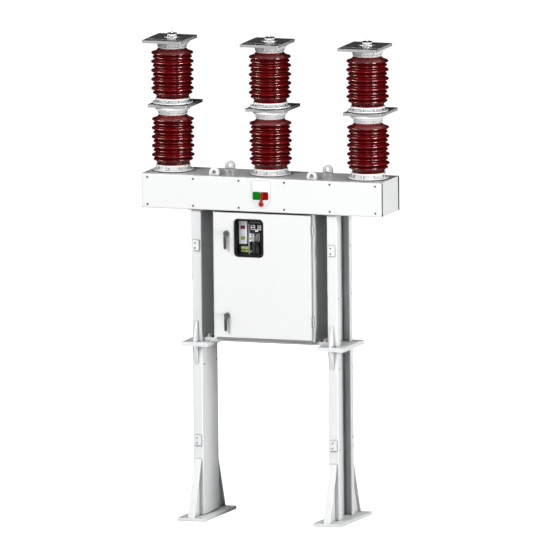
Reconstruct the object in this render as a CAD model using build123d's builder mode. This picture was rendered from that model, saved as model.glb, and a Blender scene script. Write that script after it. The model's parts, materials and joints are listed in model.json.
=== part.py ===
from build123d import *
import os
from math import radians, tan

# Outdoor gas insulated circuit breaker: three poles on a crossarm, carried by two
# channel columns, with the drive cabinet hung between them.
# Millimetres. X runs along the crossarm, Y to the back, Z up. The origin is on the
# ground, midway between the two base plates.

os.makedirs("parts", exist_ok=True)

# ---- driving dimensions -------------------------------------------------------------

phase_spacing = 710.0
running_clearance = 0.05
seat_clearance = 0.3

# columns and their feet
column_centre_x = 493.0
column_width = 72.0
column_depth = 314.0
column_sheet = 6.0
column_lip = 57.0
column_bend = 8.0
lower_column_top = 1196.0
base_plate_width = 200.0
base_plate_depth = 640.0
base_plate_thickness = 21.0
anchor_spacing_x = 140.0
anchor_spacing_y = 540.0
anchor_hole_radius = 13.0
brace_height = 390.0
brace_toe_margin = 7.0
brace_web = 12.0
brace_cap_width = 50.0
brace_cap_thickness = 8.0

# bolted joint at the columns' middle
mid_flange_width = 195.0
mid_flange_depth = 428.0
mid_flange_thickness = 14.5
gusset_thickness = 15.0
gusset_toe_margin = 2.0
gusset_height_up = 142.0
gusset_height_down = 128.0
gusset_nose = 8.0
upper_column_length = 910.0
top_flange_width = 112.0
top_flange_thickness = 8.0

# holes along the columns and the small covers on their fronts
lip_hole_radius = 7.0
lower_lip_holes_from_foot = (489.0, 543.0)
lower_lip_hole_from_top = 127.0
upper_lip_hole_from_foot = 331.0
upper_lip_hole_from_top = 246.0
small_cover_width = 47.0
small_cover_height = 70.0
small_cover_depth = 20.0
small_cover_chamfer = 2.0
lower_small_cover_from_foot = 519.0
upper_small_cover_from_top = 245.0

# crossarm housing
crossarm_length = 1744.0
crossarm_height = 236.0
crossarm_depth = 330.0
crossarm_sheet = 5.0
crossarm_flange = 30.0
seal_thickness = 2.5
seal_inset = 6.0
seal_width = 18.0
crossarm_bend = 5.0
front_cover_depth = 32.5
back_cover_depth = 3.0
cover_sheet = 3.0
cover_bend = 8.0

# lifting lugs
lug_spacing_x = 710.0
lug_width = 73.0
lug_height = 55.0
lug_thickness = 12.0
lug_eye_radius = 14.0
lug_eye_height = 24.0

# poles
base_casting_height = 45.0
insulator_height = 343.0
cap_casting_height = 57.0
terminal_thickness = 20.0
upper_foot_height = 40.0
casting_flange_radius = 140.0
casting_flange_thickness = 9.0
foot_neck_radius = 110.0
foot_rim_radius = 119.0
foot_rim_height = 12.0
foot_rim_slope = 2.5
cap_foot_radius = 96.0
cap_top_radius = 120.0
cap_rim_height = 10.0
casting_rib_count = 8
casting_rib_width = 8.0
casting_rib_depth = 7.0
insulator_core_radius = 113.0
insulator_foot_radius = 111.0
insulator_head_radius = 94.0
big_shed_radius = 147.0
small_shed_radius = 133.0
shed_pairs = 5
first_shed_height = 62.0
last_shed_below_top = 33.8
terminal_width = 280.0
terminal_depth = 345.0
terminal_overhang = 50.0
terminal_corner_chamfer = 5.0
palm_depth = 75.0
palm_cut = 1.0
stud_washer_radius = 55.0
stud_washer_thickness = 4.0
stud_nut_across_flats = 56.0
stud_nut_height = 21.0
stud_radius = 20.0
stud_length = 30.0

# drive cabinet
cabinet_side_gap = 90.0
cabinet_sheet = 3.0
cabinet_rim = 42.0
gutter_height = 18.0
gutter_sheet = 2.5
beam_width = 50.0
beam_height = 25.0
beam_wall = 3.0
beam_spacing_y = 200.0
beam_end_gap = 4.0

# door
door_side_margin = 17.0
door_bottom_margin = 17.0
door_top_margin = 12.0
door_depth = 33.0
door_gap = 5.0
door_sheet = 2.5
door_edge_chamfer = 1.5
hinge_axis_outset = 8.5
hinge_axis_inset = 10.0
hinge_pin_radius = 3.0
hinge_knuckle_radius = 6.0
hinge_half_height = 30.0
hinge_leaf = 2.5
hinge_split = 0.6
hinge_pin_setback = 3.0
lower_hinge_inset = 125.0
upper_hinge_inset = 101.0
door_seal_width = 12.0
door_rail_width = 44.0
door_rail_depth = 12.0
door_rail_sheet = 2.0
door_rail_end_gap = 24.0
door_rail_from_window = 140.0

# window in the door
window_from_latch = 62.0
window_top_margin = 48.0
window_width = 196.0
window_height = 247.0
window_corner_radius = 22.0
gasket_band = 14.0
gasket_overlap = 8.0
gasket_proud = 4.0
gasket_groove = 3.0
glass_thickness = 4.0

# latches
latch_edge_distance = 95.0
lower_latch_inset = 155.0
upper_latch_inset = 141.0
latch_boss_radius = 16.0
latch_boss_length = 27.0
latch_spindle_radius = 7.0
lever_length = 108.0
lever_root_width = 22.0
lever_tip_width = 17.0
lever_thickness = 9.0
lever_crank = 16.0
cam_length = 58.0
cam_width = 20.0
cam_thickness = 4.0
cam_behind_door = 50.0

# position indicator on the crossarm
indicator_width = 134.0
indicator_height = 190.0
indicator_point_width = 64.0
indicator_taper_height = 56.0
indicator_thickness = 3.0
indicator_bottom_margin = 30.0
indicator_corner_radius = 8.0
pointer_pivot_above_point = 27.0
pointer_bulb_radius = 17.5
pointer_tip_radius = 5.0
pointer_arm_length = 70.0
pointer_thickness = 8.0
pointer_lean = 9.0
pointer_shaft_radius = 6.0
pointer_collar_radius = 10.0
pointer_collar_length = 6.0

# spring mechanism behind the window
# (places run across and up from the window's centre)
mechanism_set_back = 54.0
mechanism_depth = 208.0
mechanism_below_window = 4.0
mechanism_plate = 4.0
mechanism_plate_offsets = (-113.0, -29.0, 69.0)
mechanism_strap_set_back = 16.0
tie_bar_rise = 100.5
tie_bar_height = 16.0
tie_bar_depth = 12.0
fascia_width = 56.0
fascia_height = 160.0
fascia_offset = (-74.0, 25.5)
fascia_depth = 20.0
fascia_window_width = 35.0
fascia_window_height = 25.0
fascia_window_rises = (-39.0, 35.0)
fascia_window_depth = 3.0
counter_offsets = ((-2.0, 61.5, 30.0, 34.0), (45.0, 61.5, 26.0, 32.0), (25.0, 39.5, 22.0, 16.0))
counter_panel_height = 62.0
counter_panel_rise = 57.5
counter_panel_depth = 8.0
counter_frame_depth = 6.0
counter_rim = 5.0
relay_offsets = ((-5.0, -7.5, 37.0, 56.0), (38.0, -4.5, 33.0, 52.0))
relay_depth = 30.0
terminal_count = 6
terminal_pitch = 9.0
terminal_height = 40.0
terminal_block_depth = 26.0
terminal_block_offset = (-60.0, -91.5)
terminal_slot_width = 1.2
terminal_slot_depth = 5.0
motor_radius = 15.0
motor_height = 70.0
motor_offset = 32.0
motor_cap_radius = 9.0
motor_cap_height = 8.0

# ---- places worked out from them ----------------------------------------------------

column_face = column_depth / 2
column_outer = column_centre_x + column_width / 2
column_inner = column_centre_x - column_width / 2
brace_reach = base_plate_depth / 2 - column_face - brace_toe_margin
gusset_reach = mid_flange_depth / 2 - column_face - gusset_toe_margin
upper_column_bottom = lower_column_top + 2 * mid_flange_thickness
upper_column_top = upper_column_bottom + upper_column_length
crossarm_bottom = upper_column_top + top_flange_thickness
crossarm_top = crossarm_bottom + crossarm_height
crossarm_centre_z = crossarm_bottom + crossarm_height / 2
frame_face = crossarm_depth / 2
front_cover_back = -(frame_face + seal_thickness)
front_cover_face = front_cover_back - front_cover_depth
back_cover_front = frame_face + seal_thickness

pole_places = (-phase_spacing, 0.0, phase_spacing)
lower_insulator_bottom = crossarm_top + base_casting_height
mid_casting_bottom = lower_insulator_bottom + insulator_height
mid_terminal_bottom = mid_casting_bottom + cap_casting_height
upper_foot_bottom = mid_terminal_bottom + terminal_thickness
upper_insulator_bottom = upper_foot_bottom + upper_foot_height
top_casting_bottom = upper_insulator_bottom + insulator_height
top_terminal_bottom = top_casting_bottom + cap_casting_height
top_terminal_top = top_terminal_bottom + terminal_thickness

# the sheds stand at equal steps, each small one a little under half way up to the next big one
shed_pitch = (insulator_height - first_shed_height - last_shed_below_top) / (shed_pairs - 1)
small_shed_drop = 0.445 * shed_pitch
shed_half_root = 0.243 * shed_pitch
shed_valley_rise = 0.9 * shed_half_root

# the door lies in line with the crossarm's front cover, and the cabinet behind it
beam_bottom = upper_column_bottom
cabinet_bottom = beam_bottom + beam_height
cabinet_top = crossarm_bottom
cabinet_width = 2 * (column_inner - cabinet_side_gap)
door_width = cabinet_width - 2 * door_side_margin
door_bottom = cabinet_bottom + door_bottom_margin
door_top = cabinet_top - door_top_margin
door_height = door_top - door_bottom
door_centre_z = (door_bottom + door_top) / 2
door_face = front_cover_face
door_skin_back = door_face + door_sheet
cabinet_front = door_face + door_depth + door_gap
cabinet_back = back_cover_front + back_cover_depth
gutter_front = cabinet_front - gutter_height
hinge_x = door_width / 2 + hinge_axis_outset
hinge_y = cabinet_front - hinge_axis_inset
hinge_heights = (door_bottom + lower_hinge_inset, door_top - upper_hinge_inset)
latch_x = latch_edge_distance - door_width / 2
latch_heights = (door_bottom + lower_latch_inset, door_top - upper_latch_inset)
window_centre_x = latch_x + window_from_latch + window_width / 2
window_centre_z = door_top - window_top_margin - window_height / 2

sides = (("left", -1), ("right", 1))

# ---- columns ------------------------------------------------------------------------

lower_lip_hole_heights = (
    base_plate_thickness + lower_lip_holes_from_foot[0],
    base_plate_thickness + lower_lip_holes_from_foot[1],
    lower_column_top - lower_lip_hole_from_top,
)
upper_lip_hole_heights = (
    upper_column_bottom + upper_lip_hole_from_foot,
    upper_column_top - upper_lip_hole_from_top,
)
column_sections = (
    ("lower", base_plate_thickness, lower_column_top, lower_lip_hole_heights),
    ("upper", upper_column_bottom, upper_column_top, upper_lip_hole_heights),
)

for side, sign in sides:
    for level, bottom, top, lip_heights in column_sections:
        with BuildPart() as column:
            # lipped channel with its web towards the cabinet and its mouth outwards
            with BuildSketch(Plane.XY.offset(bottom)):
                with Locations((sign * column_centre_x, 0)):
                    RectangleRounded(column_width, column_depth, column_bend)
                with Locations((sign * column_centre_x, 0)):
                    Rectangle(column_width - 2 * column_sheet, column_depth - 2 * column_sheet,
                              mode=Mode.SUBTRACT)
                with Locations((sign * column_outer, 0)):
                    Rectangle(4 * column_sheet, column_depth - 2 * column_lip, mode=Mode.SUBTRACT)
            extrude(amount=top - bottom)
            # holes in the two lips
            lip_centre = column_face - column_lip / 2
            with BuildSketch(Plane.YZ.offset(sign * column_outer)):
                with Locations(*[(y, z) for y in (-lip_centre, lip_centre) for z in lip_heights]):
                    Circle(lip_hole_radius)
            extrude(amount=-sign * 2 * column_sheet, mode=Mode.SUBTRACT)
        column.part.label = f"{side}_{level}_column"
        export_step(column.part, f"parts/{side}_{level}_column.step")

# ---- base plates --------------------------------------------------------------------

for side, sign in sides:
    with BuildPart() as base_plate:
        with BuildSketch(Plane.XY):
            with Locations((sign * column_centre_x, 0)):
                Rectangle(base_plate_width, base_plate_depth)
                with GridLocations(anchor_spacing_x, anchor_spacing_y, 2, 2):
                    Circle(anchor_hole_radius, mode=Mode.SUBTRACT)
        extrude(amount=base_plate_thickness)
    base_plate.part.label = f"{side}_base_plate"
    export_step(base_plate.part, f"parts/{side}_base_plate.step")

# ---- braces at the columns' feet ----------------------------------------------------

with BuildPart() as base_braces:
    for face in (-1, 1):
        foot_y = face * column_face
        for side, sign in sides:
            # upright triangular web, cut back by the cap that lies along its slope
            with BuildSketch(Plane.YZ.offset(sign * column_centre_x)):
                with BuildLine():
                    Polyline((foot_y, base_plate_thickness),
                             (foot_y + face * brace_reach, base_plate_thickness),
                             (foot_y + face * brace_cap_thickness, base_plate_thickness + brace_height),
                             (foot_y, base_plate_thickness + brace_height), close=True)
                make_face()
            extrude(amount=brace_web / 2, both=True)
            # sloping cap plate, square to the web
            with BuildSketch(Plane.YZ.offset(sign * column_centre_x)):
                with BuildLine():
                    Polyline((foot_y + face * (brace_reach - brace_cap_thickness * 1.2), base_plate_thickness),
                             (foot_y + face * brace_reach, base_plate_thickness),
                             (foot_y + face * brace_cap_thickness, base_plate_thickness + brace_height),
                             (foot_y, base_plate_thickness + brace_height), close=True)
                make_face()
            extrude(amount=brace_cap_width / 2, both=True)
base_braces.part.label = "base_braces"
export_step(base_braces.part, "parts/base_braces.step")

# ---- flanges at the columns' middle and top -----------------------------------------

flange_levels = (
    ("lower_mid_flanges", lower_column_top, mid_flange_width, mid_flange_depth, mid_flange_thickness),
    ("upper_mid_flanges", lower_column_top + mid_flange_thickness,
     mid_flange_width, mid_flange_depth, mid_flange_thickness),
    ("top_flanges", upper_column_top, top_flange_width, crossarm_depth, top_flange_thickness),
)

for name, bottom, width, depth, thickness in flange_levels:
    with BuildPart() as flanges:
        with BuildSketch(Plane.XY.offset(bottom)):
            with GridLocations(2 * column_centre_x, 0, 2, 1):
                Rectangle(width, depth)
        extrude(amount=thickness)
    flanges.part.label = name
    export_step(flanges.part, f"parts/{name}.step")

# ---- gussets over and under the middle flanges --------------------------------------

with BuildPart() as mid_gussets:
    for side, sign in sides:
        for face in (-1, 1):
            for root_z, rise in ((upper_column_bottom, gusset_height_up),
                                 (lower_column_top, -gusset_height_down)):
                nose = gusset_nose if rise > 0 else -gusset_nose
                with BuildSketch(Plane.YZ.offset(sign * column_centre_x)):
                    with BuildLine():
                        Polyline((face * column_face, root_z),
                                 (face * (column_face + gusset_reach), root_z),
                                 (face * (column_face + gusset_reach), root_z + nose),
                                 (face * (column_face + gusset_nose), root_z + rise),
                                 (face * column_face, root_z + rise), close=True)
                    make_face()
                extrude(amount=gusset_thickness / 2, both=True)
mid_gussets.part.label = "mid_gussets"
export_step(mid_gussets.part, "parts/mid_gussets.step")

# ---- small covers on the columns' fronts --------------------------------------------

small_cover_heights = (
    base_plate_thickness + lower_small_cover_from_foot,
    upper_column_top - upper_small_cover_from_top,
)

with BuildPart() as small_covers:
    with BuildSketch(Plane.XZ.offset(column_face)):
        with Locations(*[(sign * column_centre_x, z) for side, sign in sides
                         for z in small_cover_heights]):
            Rectangle(small_cover_width, small_cover_height)
    extrude(amount=small_cover_depth)
    chamfer(small_covers.faces().sort_by(Axis.Y)[:4].edges(), small_cover_chamfer)
small_covers.part.label = "small_covers"
export_step(small_covers.part, "parts/small_covers.step")

# ---- crossarm housing ---------------------------------------------------------------

with BuildPart() as crossarm_frame:
    # box of folded sheet with a bent edge and an inward flange round its front and back mouths
    with BuildSketch(Plane.XZ.offset(frame_face)):
        with Locations((0, crossarm_centre_z)):
            Rectangle(crossarm_length, crossarm_height)
    extrude(amount=-crossarm_depth)
    rim_edges = crossarm_frame.faces().sort_by(Axis.Y)[0].edges()
    rim_edges += crossarm_frame.faces().sort_by(Axis.Y)[-1].edges()
    fillet(rim_edges, crossarm_bend)
    with BuildSketch(Plane.XZ.offset(frame_face - crossarm_sheet)):
        with Locations((0, crossarm_centre_z)):
            Rectangle(crossarm_length - 2 * crossarm_sheet, crossarm_height - 2 * crossarm_sheet)
    extrude(amount=-(crossarm_depth - 2 * crossarm_sheet), mode=Mode.SUBTRACT)
    with BuildSketch(Plane.XZ.offset(frame_face)):
        with Locations((0, crossarm_centre_z)):
            Rectangle(crossarm_length - 2 * crossarm_flange, crossarm_height - 2 * crossarm_flange)
    extrude(amount=-crossarm_depth, mode=Mode.SUBTRACT)
crossarm_frame.part.label = "crossarm_frame"
export_step(crossarm_frame.part, "parts/crossarm_frame.step")

with BuildPart() as crossarm_seals:
    for face_y in (frame_face + seal_thickness, -frame_face):
        with BuildSketch(Plane.XZ.offset(face_y)):
            with Locations((0, crossarm_centre_z)):
                Rectangle(crossarm_length - 2 * seal_inset, crossarm_height - 2 * seal_inset)
                Rectangle(crossarm_length - 2 * (seal_inset + seal_width),
                          crossarm_height - 2 * (seal_inset + seal_width), mode=Mode.SUBTRACT)
        extrude(amount=-seal_thickness)
crossarm_seals.part.label = "crossarm_seals"
export_step(crossarm_seals.part, "parts/crossarm_seals.step")

indicator_bottom = crossarm_bottom + indicator_bottom_margin
pointer_pivot_z = indicator_bottom + pointer_pivot_above_point
shaft_hole_radius = pointer_shaft_radius + running_clearance

with BuildPart() as crossarm_front_cover:
    # deep pan, folded edges against the seal
    with BuildSketch(Plane.XZ.offset(-front_cover_face)):
        with Locations((0, crossarm_centre_z)):
            Rectangle(crossarm_length, crossarm_height)
    extrude(amount=-front_cover_depth)
    fillet(crossarm_front_cover.faces().sort_by(Axis.Y)[0].edges(), cover_bend)
    with BuildSketch(Plane.XZ.offset(-front_cover_face - cover_sheet)):
        with Locations((0, crossarm_centre_z)):
            Rectangle(crossarm_length - 2 * seal_width, crossarm_height - 2 * seal_width)
    extrude(amount=-front_cover_depth, mode=Mode.SUBTRACT)
    with BuildSketch(Plane.XZ.offset(-front_cover_face)):
        with Locations((0, pointer_pivot_z)):
            Circle(shaft_hole_radius)
    extrude(amount=-front_cover_depth, mode=Mode.SUBTRACT)
crossarm_front_cover.part.label = "crossarm_front_cover"
export_step(crossarm_front_cover.part, "parts/crossarm_front_cover.step")

with BuildPart() as crossarm_back_cover:
    with BuildSketch(Plane.XZ.offset(-back_cover_front)):
        with Locations((0, crossarm_centre_z)):
            Rectangle(crossarm_length, crossarm_height)
    extrude(amount=-back_cover_depth)
crossarm_back_cover.part.label = "crossarm_back_cover"
export_step(crossarm_back_cover.part, "parts/crossarm_back_cover.step")

# ---- lifting lugs -------------------------------------------------------------------

with BuildPart() as lifting_lugs:
    for plane_y in (frame_face, -frame_face + lug_thickness):
        with BuildSketch(Plane.XZ.offset(plane_y)):
            with Locations((-lug_spacing_x / 2, crossarm_top), (lug_spacing_x / 2, crossarm_top)):
                with Locations((0, (lug_height - lug_width / 2) / 2)):
                    Rectangle(lug_width, lug_height - lug_width / 2)
                with Locations((0, lug_height - lug_width / 2)):
                    Circle(lug_width / 2)
                with Locations((0, -lug_width / 2)):
                    Rectangle(2 * lug_width, lug_width, mode=Mode.SUBTRACT)
                with Locations((0, lug_eye_height)):
                    Circle(lug_eye_radius, mode=Mode.SUBTRACT)
        extrude(amount=-lug_thickness)
lifting_lugs.part.label = "lifting_lugs"
export_step(lifting_lugs.part, "parts/lifting_lugs.step")

# ---- poles --------------------------------------------------------------------------


def foot_profile(bottom, height):
    """Points (r, z) of the half section of a casting that stands on its flange."""
    flange_top = bottom + casting_flange_thickness
    rim_bottom = bottom + height - foot_rim_height
    return [
        (0, bottom),
        (casting_flange_radius, bottom),
        (casting_flange_radius, flange_top),
        (foot_neck_radius, flange_top),
        (foot_neck_radius, rim_bottom - foot_rim_slope),
        (foot_rim_radius, rim_bottom),
        (foot_rim_radius, bottom + height - foot_rim_slope),
        (foot_rim_radius - foot_rim_slope, bottom + height),
        (0, bottom + height),
    ]


def foot_rib(bottom, height):
    """Points (r, z) of one rib from a foot casting's flange up to its rim."""
    inside = foot_neck_radius - casting_rib_width
    flange_middle = bottom + casting_flange_thickness / 2
    rim_middle = bottom + height - foot_rim_height / 2
    return [
        (inside, flange_middle),
        (foot_neck_radius + 2 * casting_rib_depth, flange_middle),
        (foot_neck_radius + casting_rib_depth, rim_middle),
        (inside, rim_middle),
    ]


def cap_profile(bottom, height):
    """Points (r, z) of the half section of a casting that flares up to a terminal."""
    return [
        (0, bottom),
        (cap_foot_radius, bottom),
        (cap_top_radius, bottom + height - cap_rim_height),
        (cap_top_radius, bottom + height),
        (0, bottom + height),
    ]


def cap_rib(bottom, height):
    """Points (r, z) of one rib up the flare of a cap casting."""
    inside = cap_foot_radius - casting_rib_width
    low = bottom + casting_rib_depth
    rim_middle = bottom + height - cap_rim_height / 2
    return [
        (inside, low),
        (cap_foot_radius + casting_rib_depth, low),
        (cap_top_radius, rim_middle),
        (inside, rim_middle),
    ]


def shed_profile(bottom, height):
    """Points (r, z) of an insulator's half section, with big and small sheds by turns."""
    top = bottom + height
    points = [(0, bottom), (insulator_foot_radius, bottom)]
    for pair in range(shed_pairs):
        big_z = bottom + first_shed_height + pair * shed_pitch
        small_z = big_z - small_shed_drop
        points.append((insulator_core_radius, small_z - shed_half_root))
        points.append((small_shed_radius, small_z))
        points.append((insulator_core_radius, small_z + shed_valley_rise))
        points.append((big_shed_radius, big_z))
    points.append((insulator_core_radius, big_z + shed_half_root))
    points += [(insulator_head_radius, top), (0, top)]
    return points


foot_levels = ((crossarm_top, base_casting_height), (upper_foot_bottom, upper_foot_height))
cap_levels = ((mid_casting_bottom, cap_casting_height), (top_casting_bottom, cap_casting_height))

# each node holds the like pieces of all three poles
turned_nodes = (
    ("foot_castings", foot_levels, foot_profile, foot_rib),
    ("cap_castings", cap_levels, cap_profile, cap_rib),
    ("lower_insulators", ((lower_insulator_bottom, insulator_height),), shed_profile, None),
    ("upper_insulators", ((upper_insulator_bottom, insulator_height),), shed_profile, None),
)

for name, levels, profile, rib_profile in turned_nodes:
    with BuildPart() as turned_piece:
        for pole_x in pole_places:
            for bottom, height in levels:
                with BuildSketch(Plane.XZ.shift_origin((pole_x, 0, 0))):
                    with BuildLine():
                        Polyline(*profile(bottom, height), close=True)
                    make_face()
                revolve(axis=Axis((pole_x, 0, 0), (0, 0, 1)))
                if rib_profile is None:
                    continue
                for rib in range(casting_rib_count):
                    rib_turn = rib * 360 / casting_rib_count
                    rib_plane = Plane(origin=(pole_x, 0, 0),
                                      x_dir=Vector(1, 0, 0).rotate(Axis.Z, rib_turn),
                                      z_dir=Vector(0, -1, 0).rotate(Axis.Z, rib_turn))
                    with BuildSketch(rib_plane):
                        with BuildLine():
                            Polyline(*rib_profile(bottom, height), close=True)
                        make_face()
                    extrude(amount=casting_rib_width / 2, both=True)
    turned_piece.part.label = name
    export_step(turned_piece.part, f"parts/{name}.step")

# the middle terminals reach to the back and the top ones to the front, each with a milled palm
for name, bottom, way in (("middle_terminals", mid_terminal_bottom, 1), ("top_terminals", top_terminal_bottom, -1)):
    with BuildPart() as terminals:
        with BuildSketch(Plane.XY.offset(bottom)):
            with Locations(*[(pole_x, way * terminal_overhang) for pole_x in pole_places]):
                Rectangle(terminal_width, terminal_depth)
        extrude(amount=terminal_thickness)
        chamfer(terminals.edges().filter_by(Axis.Z), terminal_corner_chamfer)
        palm_centre_y = way * (terminal_overhang + (terminal_depth - palm_depth) / 2)
        with BuildSketch(Plane.XY.offset(bottom + terminal_thickness)):
            with Locations(*[(pole_x, palm_centre_y) for pole_x in pole_places]):
                Rectangle(terminal_width, palm_depth)
        extrude(amount=-palm_cut, mode=Mode.SUBTRACT)
    terminals.part.label = name
    export_step(terminals.part, f"parts/{name}.step")

with BuildPart() as terminal_studs:
    with BuildSketch(Plane.XY.offset(top_terminal_top)):
        with GridLocations(phase_spacing, 0, 3, 1):
            Circle(stud_washer_radius)
    extrude(amount=stud_washer_thickness)
    with BuildSketch(Plane.XY.offset(top_terminal_top + stud_washer_thickness)):
        with GridLocations(phase_spacing, 0, 3, 1):
            RegularPolygon(stud_nut_across_flats / 2, 6, major_radius=False)
    extrude(amount=stud_nut_height)
    with BuildSketch(Plane.XY.offset(top_terminal_top + stud_washer_thickness)):
        with GridLocations(phase_spacing, 0, 3, 1):
            Circle(stud_radius)
    extrude(amount=stud_length)
terminal_studs.part.label = "terminal_studs"
export_step(terminal_studs.part, "parts/terminal_studs.step")

# ---- drive cabinet ------------------------------------------------------------------

cabinet_centre_z = (cabinet_bottom + cabinet_top) / 2
cabinet_height = cabinet_top - cabinet_bottom
cabinet_depth = cabinet_back - cabinet_front
mouth_width = cabinet_width - 2 * cabinet_rim
mouth_height = cabinet_height - 2 * cabinet_rim

with BuildPart() as cabinet_shell:
    with BuildSketch(Plane.XZ.offset(-cabinet_front)):
        with Locations((0, cabinet_centre_z)):
            Rectangle(cabinet_width, cabinet_height)
    extrude(amount=-cabinet_depth)
    with BuildSketch(Plane.XZ.offset(-cabinet_front - cabinet_sheet)):
        with Locations((0, cabinet_centre_z)):
            Rectangle(cabinet_width - 2 * cabinet_sheet, cabinet_height - 2 * cabinet_sheet)
    extrude(amount=-(cabinet_depth - 2 * cabinet_sheet), mode=Mode.SUBTRACT)
    # folded gutter that stands forward round the mouth
    with BuildSketch(Plane.XZ.offset(-gutter_front)):
        with Locations((0, cabinet_centre_z)):
            Rectangle(mouth_width + 2 * gutter_sheet, mouth_height + 2 * gutter_sheet)
    extrude(amount=-(gutter_height + cabinet_sheet))
    with BuildSketch(Plane.XZ.offset(-gutter_front)):
        with Locations((0, cabinet_centre_z)):
            Rectangle(mouth_width, mouth_height)
    extrude(amount=-(gutter_height + cabinet_sheet), mode=Mode.SUBTRACT)
cabinet_shell.part.label = "cabinet_shell"
export_step(cabinet_shell.part, "parts/cabinet_shell.step")

beam_length = 2 * (column_inner - beam_end_gap)
with BuildPart() as cabinet_beams:
    with BuildSketch(Plane.YZ.offset(-beam_length / 2)):
        with Locations((-beam_spacing_y / 2, beam_bottom + beam_height / 2),
                       (beam_spacing_y / 2, beam_bottom + beam_height / 2)):
            Rectangle(beam_width, beam_height)
            Rectangle(beam_width - 2 * beam_wall, beam_height - 2 * beam_wall, mode=Mode.SUBTRACT)
    extrude(amount=beam_length)
cabinet_beams.part.label = "cabinet_beams"
export_step(cabinet_beams.part, "parts/cabinet_beams.step")

# ---- door ---------------------------------------------------------------------------

with BuildPart() as door_panel:
    with BuildSketch(Plane.XZ.offset(-door_face)):
        with Locations((0, door_centre_z)):
            Rectangle(door_width, door_height)
    extrude(amount=-door_depth)
    chamfer(door_panel.faces().sort_by(Axis.Y)[0].edges(), door_edge_chamfer)
    with BuildSketch(Plane.XZ.offset(-door_skin_back)):
        with Locations((0, door_centre_z)):
            Rectangle(door_width - 2 * door_sheet, door_height - 2 * door_sheet)
    extrude(amount=-door_depth, mode=Mode.SUBTRACT)
    with BuildSketch(Plane.XZ.offset(-door_face)):
        with Locations((window_centre_x, window_centre_z)):
            RectangleRounded(window_width, window_height, window_corner_radius)
        with Locations(*[(latch_x, z) for z in latch_heights]):
            Circle(latch_spindle_radius + running_clearance)
    extrude(amount=-door_depth, mode=Mode.SUBTRACT)
door_panel.part.label = "door_panel"
export_step(door_panel.part, "parts/door_panel.step")

# each hinge has a fixed lower half with the pin and a lift-off upper half
with BuildPart() as fixed_hinges:
    for z in hinge_heights:
        with BuildSketch(Plane.XY.offset(z - hinge_half_height)):
            with Locations((hinge_x, hinge_y)):
                Circle(hinge_knuckle_radius)
            with Locations((hinge_x, (hinge_y + cabinet_front) / 2)):
                Rectangle(hinge_pin_radius * 2, cabinet_front - hinge_y)
        extrude(amount=hinge_half_height)
        with BuildSketch(Plane.XY.offset(z)):
            with Locations((hinge_x, hinge_y)):
                Circle(hinge_pin_radius)
        extrude(amount=hinge_half_height - hinge_pin_setback)
fixed_hinges.part.label = "fixed_hinges"
export_step(fixed_hinges.part, "parts/fixed_hinges.step")

with BuildPart() as door_hinges:
    for z in hinge_heights:
        with BuildSketch(Plane.XY.offset(z + hinge_split)):
            with Locations((hinge_x, hinge_y)):
                Circle(hinge_knuckle_radius)
            with Locations((door_width / 2 + hinge_axis_outset / 2, hinge_y - hinge_knuckle_radius / 2)):
                Rectangle(hinge_axis_outset, hinge_leaf)
            with Locations((door_width / 2 + hinge_leaf / 2, hinge_y - hinge_knuckle_radius - hinge_leaf)):
                Rectangle(hinge_leaf, 2 * hinge_knuckle_radius - hinge_leaf)
            with Locations((hinge_x, hinge_y)):
                Circle(hinge_pin_radius + running_clearance, mode=Mode.SUBTRACT)
        extrude(amount=hinge_half_height)
door_hinges.part.label = "door_hinges"
export_step(door_hinges.part, "parts/door_hinges.step")

# rubber strip inside the door, which the gutter's edge closes on
with BuildPart() as door_seal:
    with BuildSketch(Plane.XZ.offset(-door_skin_back)):
        with Locations((0, cabinet_centre_z)):
            Rectangle(mouth_width + gutter_sheet + door_seal_width,
                      mouth_height + gutter_sheet + door_seal_width)
            Rectangle(mouth_width + gutter_sheet - door_seal_width,
                      mouth_height + gutter_sheet - door_seal_width, mode=Mode.SUBTRACT)
    extrude(amount=-(gutter_front - door_skin_back - seat_clearance))
door_seal.part.label = "door_seal"
export_step(door_seal.part, "parts/door_seal.step")

# folded rail that stiffens the door's skin beside the window
with BuildPart() as door_rail:
    rail_x = window_centre_x + window_width / 2 + door_rail_from_window
    rail_length = mouth_height - 2 * door_rail_end_gap
    with BuildSketch(Plane.XY.offset(door_centre_z - rail_length / 2)):
        with Locations((rail_x, door_skin_back + door_rail_depth / 2)):
            Rectangle(door_rail_width, door_rail_depth)
        with Locations((rail_x, door_skin_back + (door_rail_depth - door_rail_sheet) / 2)):
            Rectangle(door_rail_width - 2 * door_rail_sheet, door_rail_depth - door_rail_sheet,
                      mode=Mode.SUBTRACT)
    extrude(amount=rail_length)
door_rail.part.label = "door_rail"
export_step(door_rail.part, "parts/door_rail.step")

web_width = window_width - 2 * seat_clearance
web_height = window_height - 2 * seat_clearance
glass_width = window_width - 2 * gasket_groove
glass_height = window_height - 2 * gasket_groove
sight_width = window_width + 2 * gasket_overlap - 2 * gasket_band
sight_height = window_height + 2 * gasket_overlap - 2 * gasket_band

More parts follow.
